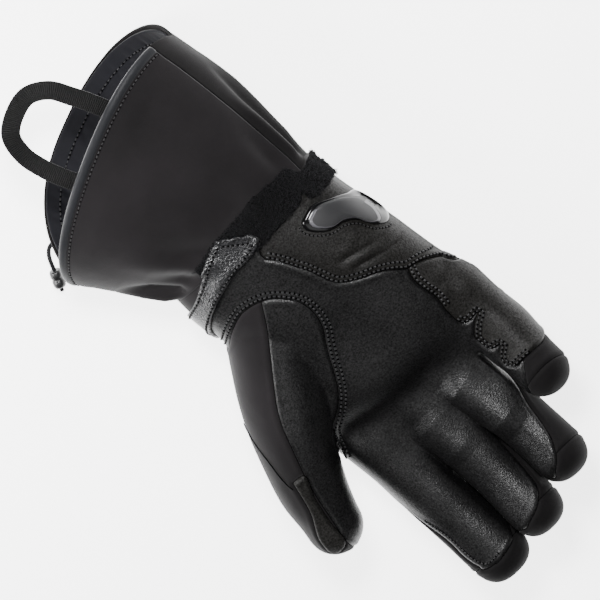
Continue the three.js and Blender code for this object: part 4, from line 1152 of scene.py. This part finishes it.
def cuff_folds(along, degrees):
    """How far the cuff's soft walls move outwards: folds at the wrist and slow waves to the hem."""
    turn = np.radians(degrees)
    folds = np.zeros(np.broadcast(along, degrees).shape)
    for depth, angle, lean, width, start, end in CUFF_FOLDS:
        off = (degrees - angle - lean * (along - start) + 180) % 360 - 180
        fade = np.clip((along - start + 0.06) * 9, 0, 1) * np.clip((end - along) * 5, 0, 1)
        folds = folds + depth * fade * np.exp(-((off / width) ** 2))
    folds += 0.6 * np.sin(3 * turn + 6 * along + 0.6) * np.clip(along * 2, 0, 1)
    folds += 0.3 * np.sin(8 * turn - 13 * along) * np.clip(1 - along * 1.6, 0, 1)
    gather = np.exp(-(((hem_at(degrees) - along - 0.1) / 0.07) ** 2)) * np.clip(-np.sin(turn - 0.35) * 3, 0, 1)
    folds += (0.55 * np.sin(41 * turn) + 0.4 * np.sin(67 * turn + 1)) * gather
    return folds * np.clip(along * 12, 0, 1) * np.clip((hem_at(degrees) - along) * 5, 0.25, 1)


def cuff_outward(along, degrees, offset=0.0):
    """One millimetre outwards from each point of the cuff."""
    return cuff_points(along, degrees, offset + 1) - cuff_points(along, degrees, offset)


def cuff_grid(start, end, columns, offset, trim=0.0, first=0.0):
    """The cuff's surface between two angles, down to its hem less a trim."""
    degrees = np.linspace(start, end, columns)[None, :]
    hem = hem_at(degrees)
    along = first + (hem - trim / CUFF_LENGTH - first) * np.linspace(0, 1, CUFF_ROWS)[:, None]
    folds = cuff_folds(along, degrees)[..., None]
    return cuff_points(along, degrees, offset) + cuff_outward(along, degrees, offset) * folds


# Name, start, end, columns, offset, trim, first, thickness, slot, material, nodes
CUFF_PANELS = [
    ("cuff_palm_skin", SEAM_THUMB_SIDE, SEAM_OUTER_SIDE, 170, 0.0, BINDING_WIDTH * 0.6, 0.0, 1.6,
     "softshell", SOFTSHELL, ["cuff_palm"]),
    ("cuff_back_skin", SEAM_OUTER_SIDE + 0.6, SEAM_THUMB_SIDE + 359.4, 200, 0.0, 0.0, 0.0, 1.6,
     "back_softshell", BACK_SOFTSHELL, ["cuff_back"]),
    ("cuff_lining_skin", SEAM_OUTER_SIDE + 1, SEAM_THUMB_SIDE + 359, 200, -CUFF_WALL + 0.2, 0.8, 0.01, 1.2,
     "lining", LINING, ["cuff_lining"]),
    ("cuff_lining_palm_side", SEAM_THUMB_SIDE - 1, SEAM_OUTER_SIDE + 1, 130, -CUFF_WALL - 0.3, BINDING_WIDTH + 1.5,
     0.01, 1.0, "lining", LINING, []),
]
for panel, start, end, columns, offset, trim, first, thickness, slot, material, nodes in CUFF_PANELS:
    surface = np.maximum(cuff_grid(start, end, columns, offset, trim, first), (-1e9, -1e9, 0.0))
    slab(surface, thickness, panel, slot, material, nodes)


def swept(line, width_direction, thick_direction, section):
    """Rings of a section swept along a line; the section holds (across, up) pairs in millimetres."""
    section = np.array(section, float)
    return [p + np.outer(section[:, 0], w) + np.outer(section[:, 1], t)
            for p, w, t in zip(line, width_direction, thick_direction)]


def hem_binding():
    degrees = np.linspace(SEAM_THUMB_SIDE + 0.4, SEAM_OUTER_SIDE - 0.4, 150)
    hem = hem_at(degrees)
    rings = []
    for turn in ring_angles(20):
        back = BINDING_WIDTH / 2 * (1 - math.sin(turn))
        out = BINDING_THICKNESS / 2 * power(math.cos(turn), 0.7) - CUFF_WALL / 2
        folds = cuff_folds(hem - back / CUFF_LENGTH, degrees)
        rings.append(cuff_points(hem - back / CUFF_LENGTH, degrees, out) + cuff_outward(hem, degrees) * folds[:, None])
    points, faces = closed_tube(list(np.stack(rings, 1)))
    mesh_object("hem_binding_satin", points, faces, "binding", BINDING, ["hem_binding"])


hem_binding()
thumb_seam_shade()
# The front edge of the index finger: share along it and angle round it
index_edge = [(0.5, 36), (0.65, 51), (0.8, 55), (0.85, 64), (0.872, 84), (0.868, 104)]
stitches("tip_stitches", [finger_line("index", index_edge, 80)], "palm_leather", pitch=2.1, thread=0.36)


LINING_STITCH_TRIM = 9.0


def hem_stitches():
    """A row of stitches in the mouth, along the back panel's hem, and one beside the binding."""
    degrees = np.linspace(168, 344, 220)
    along = hem_at(degrees) - LINING_STITCH_TRIM / CUFF_LENGTH
    shift = cuff_outward(along, degrees) * cuff_folds(along, degrees)[:, None]
    line, deeper = (cuff_points(along, degrees, -CUFF_WALL + 0.2 - depth) + shift for depth in (1.25, 2.25))
    stitches("lining_stitches", [(line, unit(deeper - line))], "lining", pitch=2.6, thread=0.4)
    degrees = np.linspace(SEAM_THUMB_SIDE + 1, SEAM_OUTER_SIDE - 1, 260)
    along = hem_at(degrees) - (BINDING_WIDTH + 0.9) / CUFF_LENGTH
    out = cuff_outward(along, degrees, 0.05)
    line = cuff_points(along, degrees, 0.05) + out * cuff_folds(along, degrees)[:, None]
    stitches("binding_stitches", [(line, unit(out))], "softshell", pitch=2.4, thread=0.3)


hem_stitches()


# Pull loop

# Share of the spread, share of the reach outwards, and drop as a share of the reach
PULL_LOOP = np.array([
    (-0.5, -0.2, 0.04), (-0.52, 0.1, 0.0), (-0.5, 0.43, 0.02), (-0.45, 0.73, 0.06), (-0.28, 0.94, 0.1),
    (0.0, 1.0, 0.12), (0.28, 0.94, 0.12), (0.43, 0.72, 0.1), (0.48, 0.42, 0.04), (0.48, 0.1, 0.0), (0.47, -0.2, 0.04),
])


def pull_loop():
    depth = CUFF_WALL + 0.3 + 1.2 + 0.3 + WEBBING_THICKNESS / 2
    left, right = (cuff_points(hem_at(d), d, -depth) for d in (110.0, 81.0))
    spread = unit(right - left) * LOOP_SPREAD
    outwards = np.array([spread[1], -spread[0], 0])
    outwards = unit(outwards) * LOOP_REACH
    middle = (left + right) / 2
    knots = [middle + spread * a + outwards * o - np.array([0, 0, LOOP_REACH * d]) for a, o, d in PULL_LOOP]
    line = spline(knots, 220)
    ahead = directions(line)
    wide = unit(np.cross(ahead, unit(np.cross(outwards, spread))))
    thick = np.cross(wide, ahead)
    half_w, half_t = WEBBING_WIDTH / 2, WEBBING_THICKNESS / 2
    section = [(-half_w, -half_t * 0.5), (-half_w * 0.9, -half_t), (half_w * 0.9, -half_t), (half_w, -half_t * 0.5),
               (half_w, half_t * 0.5), (half_w * 0.9, half_t), (-half_w * 0.9, half_t), (-half_w, half_t * 0.5)]
    points, faces = closed_tube(swept(line, wide, thick, section))
    piece = mesh_object("pull_loop_webbing", points, faces, "webbing", WEBBING, ["pull_loop"], smooth=False)
    layer = piece.data.uv_layers.new(name="along")
    steps = arc_lengths(line)
    for corner in piece.data.loops:
        ring = min(corner.vertex_index // len(section), len(line) - 1)
        layer.data[corner.index].uv = (steps[ring], 0.0)


pull_loop()


# Wrist: the loop patch, the strap that lies on it, and the hard guard

def surface_tree(*extra):
    """Hand and cuff together, as the surface that the wrist pieces lie on."""
    grids = (cuff_grid(0, 360, 241, 0.0),) + extra
    points, faces = joined([(hand_points, hand_tris.tolist())]
                           + [(grid.reshape(-1, 3), grid_faces(*grid.shape[:2])) for grid in grids])
    return BVHTree.FromPolygons(points.tolist(), faces)


wrist_tree = surface_tree()
WRIST_AXIS = (1.2, 30.0)
BAND_SMOOTHING = 16


def around(x, z):
    """Angle round the wrist's axis of a place seen from along it."""
    return math.degrees(math.atan2(z - WRIST_AXIS[1], x - WRIST_AXIS[0]))


def top_height(x, y):
    return (from_above(wrist_tree, x, y)[0] or Vector()).z


def wrapped(tree, degrees, y):
    """The outer point and normal of the wrist at an angle round its axis."""
    turn = math.radians(degrees)
    out = Vector((math.cos(turn), 0, math.sin(turn)))
    origin = Vector((WRIST_AXIS[0], y, WRIST_AXIS[1])) + out * 120
    hit, normal, _, _ = tree.ray_cast(origin, -out)
    if hit is None:
        return np.array(origin - out * 65), np.array(out)
    if normal.dot(out) < 0:
        normal = -normal
    return np.array(hit), np.array((normal * 0.6 + out * 0.4).normalized())


def band(tree, stations, lifts, rows, columns, crown=0.35):
    """A grid over the wrist between two edges; stations hold the angle and y of both edges."""
    fine = spline(stations, rows)
    lift = np.interp(np.linspace(0, 1, rows), np.linspace(0, 1, len(lifts)), lifts)
    grid = np.zeros((rows, columns, 3))
    normals = np.zeros((rows, columns, 3))
    for r in range(rows):
        for c, v in enumerate(np.linspace(0, 1, columns)):
            point, normal = wrapped(tree, *(fine[r, :2] * (1 - v) + fine[r, 2:] * v))
            swell = crown * (1 - abs(2 * v - 1) ** 6)
            grid[r, c] = point + normal * (lift[r] + swell)
            normals[r, c] = normal
    for _ in range(BAND_SMOOTHING):
        inner = grid[1:-1, 1:-1]
        mean = (grid[:-2, 1:-1] + grid[2:, 1:-1] + grid[1:-1, :-2] + grid[1:-1, 2:]) / 4
        grid[1:-1, 1:-1] = inner * 0.5 + mean * 0.5
    grid[..., 2] = np.maximum(grid[..., 2], 0.4)
    return grid, normals


def on_top(cuff_edge, hand_edge):
    """Stations for places in plan on the palm side: angle and y of both edges."""
    return [(around(a, top_height(a, b)), b, around(c, top_height(c, d)), d)
            for (a, b), (c, d) in zip(cuff_edge, hand_edge)]


# Edges seen from above, in millimetres
LOOP_CUFF_EDGE = [(27, -96), (10, -98.8), (-8.6, -98.9), (-20.9, -99.8), (-32.7, -97.6), (-41, -95)]
LOOP_HAND_EDGE = [(27, -80), (8, -80), (-8.8, -80.2), (-20, -80.2), (-30, -79.7), (-39, -81)]


def loop_patch():
    """The base of the loop patch; past its edges' points, stations are angle and y of both edges."""
    stations = on_top(LOOP_CUFF_EDGE, LOOP_HAND_EDGE) + [
        (158, -90.5, 152, -77.5), (172, -88.5, 168, -73.5), (190, -87.5, 188, -71.5)]
    grid, normals = band(wrist_tree, stations, [1.6], 110, 26, 0.3)
    grid = grid + normals * rng.uniform(-0.25, 0.25, grid.shape[:2])[..., None]
    slab(grid, 1.5, "loop_patch_base", "loop_pile", PILE, ["loop_patch"])
    return grid, normals


def pile_fibres(grid, normals, count=8600):
    """Curly fibres that stand on the loop patch."""
    points, faces = [], []
    rows, columns = grid.shape[:2]
    for k in range(count):
        r, c = rng.uniform(0, rows - 1.001), rng.uniform(0, columns - 1.001)
        i, j = int(r), int(c)
        fr, fc = r - i, c - j
        root = (grid[i, j] * (1 - fr) * (1 - fc) + grid[i + 1, j] * fr * (1 - fc)
                + grid[i, j + 1] * (1 - fr) * fc + grid[i + 1, j + 1] * fr * fc)
        up = normals[i, j]
        lean = rng.normal(size=3)
        lean = unit(lean - up * (lean @ up))
        side = np.cross(up, lean)
        size = rng.uniform(0.5, 1.3) * (1 + 0.5 * (k % 11 == 0))
        thick = rng.uniform(0.09, 0.17)
        base = k * 12
        for t in (0.0, 0.4, 0.75, 1.0):
            centre = root + up * size * math.sin(t * 2.6) + lean * size * 0.9 * (1 - math.cos(t * 2.6)) - up * 0.2
            for turn in (0, 2.1, 4.2):
                points.append(centre + side * thick * math.cos(turn) + up * thick * math.sin(turn))
        for seg in range(3):
            a = base + seg * 3
            faces += [(a, a + 1, a + 4, a + 3), (a + 1, a + 2, a + 5, a + 4), (a + 2, a, a + 3, a + 5)]
    mesh_object("loop_pile_fibres", points, faces, "loop_pile", PILE_TIPS)


loop_grid, loop_normals = loop_patch()
pile_fibres(loop_grid, loop_normals)

strap_tree = surface_tree(loop_grid)
STRAP_CUFF_EDGE = [(5.2, -98.0), (8.5, -98.7), (13, -97.6), (19, -94.9), (29.7, -89.0), (42.3, -82.4)]
STRAP_HAND_EDGE = [(-6.4, -87.4), (-6.6, -83.9), (-3.5, -81.5), (3, -80.6), (16, -79.4), (34.7, -74.6)]


def wrist_strap():
    stations = on_top(STRAP_CUFF_EDGE, STRAP_HAND_EDGE) + [
        (8, -78.5, 16, -66), (-8, -74.5, -4, -55), (-24, -74, -24, -54), (-57, -82, -57, -64),
        (-100, -86, -100, -69), (-148, -88, -148, -71)]
    grid, normals = band(strap_tree, stations, [2.3, 2.3, 2.2, 2.0, 2.0, 2.0, 2.0], 150, 17, 0.25)
    slab(grid[:, ::-1], 1.9, "wrist_strap_leather", "strap_leather", STRAP_LEATHER, ["wrist_strap"])
    raised = grid + normals * 0.1
    sewn = [(slice(4, 100), 2), (slice(4, 100), 14), (5, slice(2, 15))]
    stitches("wrist_strap_stitches", [(raised[at], normals[at]) for at in sewn], "strap_leather")


wrist_strap()


GUARD_UP = np.array([-0.42, -0.12, 0.9])
GUARD_TO_PALM = np.array([0.75, 0.66])


def guard():
    """The hard guard: a glossy rim, and a plate with a bevel towards the palm. Profiles: share of outline, height."""
    outline = spline(on_palm(GUARD + GUARD[:1]), 145)[:-1]
    centre = on_palm([(-0.68, -0.49)])[0]
    towards_palm = (outline - centre) @ GUARD_TO_PALM > -2
    profile = [(1.02, -1.2), (1.0, 0.2), (0.985, 1.2), (0.955, 1.9), (0.91, 2.2), (0.85, 2.15), (0.82, 2.3)]
    plate = [(0.82, 1.6), (0.80, 3.0), (0.775, 3.5), (0.74, 3.75), (0.6, 3.9), (0.4, 4.0), (0.2, 4.05), (0.0, 4.05)]
    smooth = []
    for share, height in profile + plate:
        places = centre + (outline - centre) * share
        bases = np.array([from_above(wrist_tree, x, y)[0] or (x, y, 30.0) for x, y in places])
        for _ in range(3):
            bases = (bases + np.roll(bases, 1, 0) + np.roll(bases, -1, 0)) / 3
        smooth.append(bases + unit(GUARD_UP) * height)
    n = len(outline)
    rim = np.vstack(smooth[:len(profile)])
    mesh_object("palm_guard_rim", rim, [tuple(f) for f in grid_faces(len(profile), n, closed=True)], "hard_guard",
                GUARD_GLOSS, ["palm_guard"])
    top = np.vstack(smooth[len(profile):])
    faces = grid_faces(len(plate), n, closed=True)
    bevel = [f for f in faces if f[0] < 3 * n and towards_palm[f[0] % n]]
    mesh_object("palm_guard_plate", top, [f for f in faces if f not in set(bevel)], "hard_guard", GUARD_MATT)
    mesh_object("palm_guard_bevel", top, bevel, "hard_guard", GUARD_BEVEL)
    rows = sewn_rows(offset_line(np.vstack([outline, outline[:1]]), 1.6), (0.0,),
                     lambda point, normal: (point[:2] - centre) @ GUARD_TO_PALM > 1)
    stitches("palm_guard_stitches", rows, "patch_leather", pitch=2.1, thread=0.33)


guard()
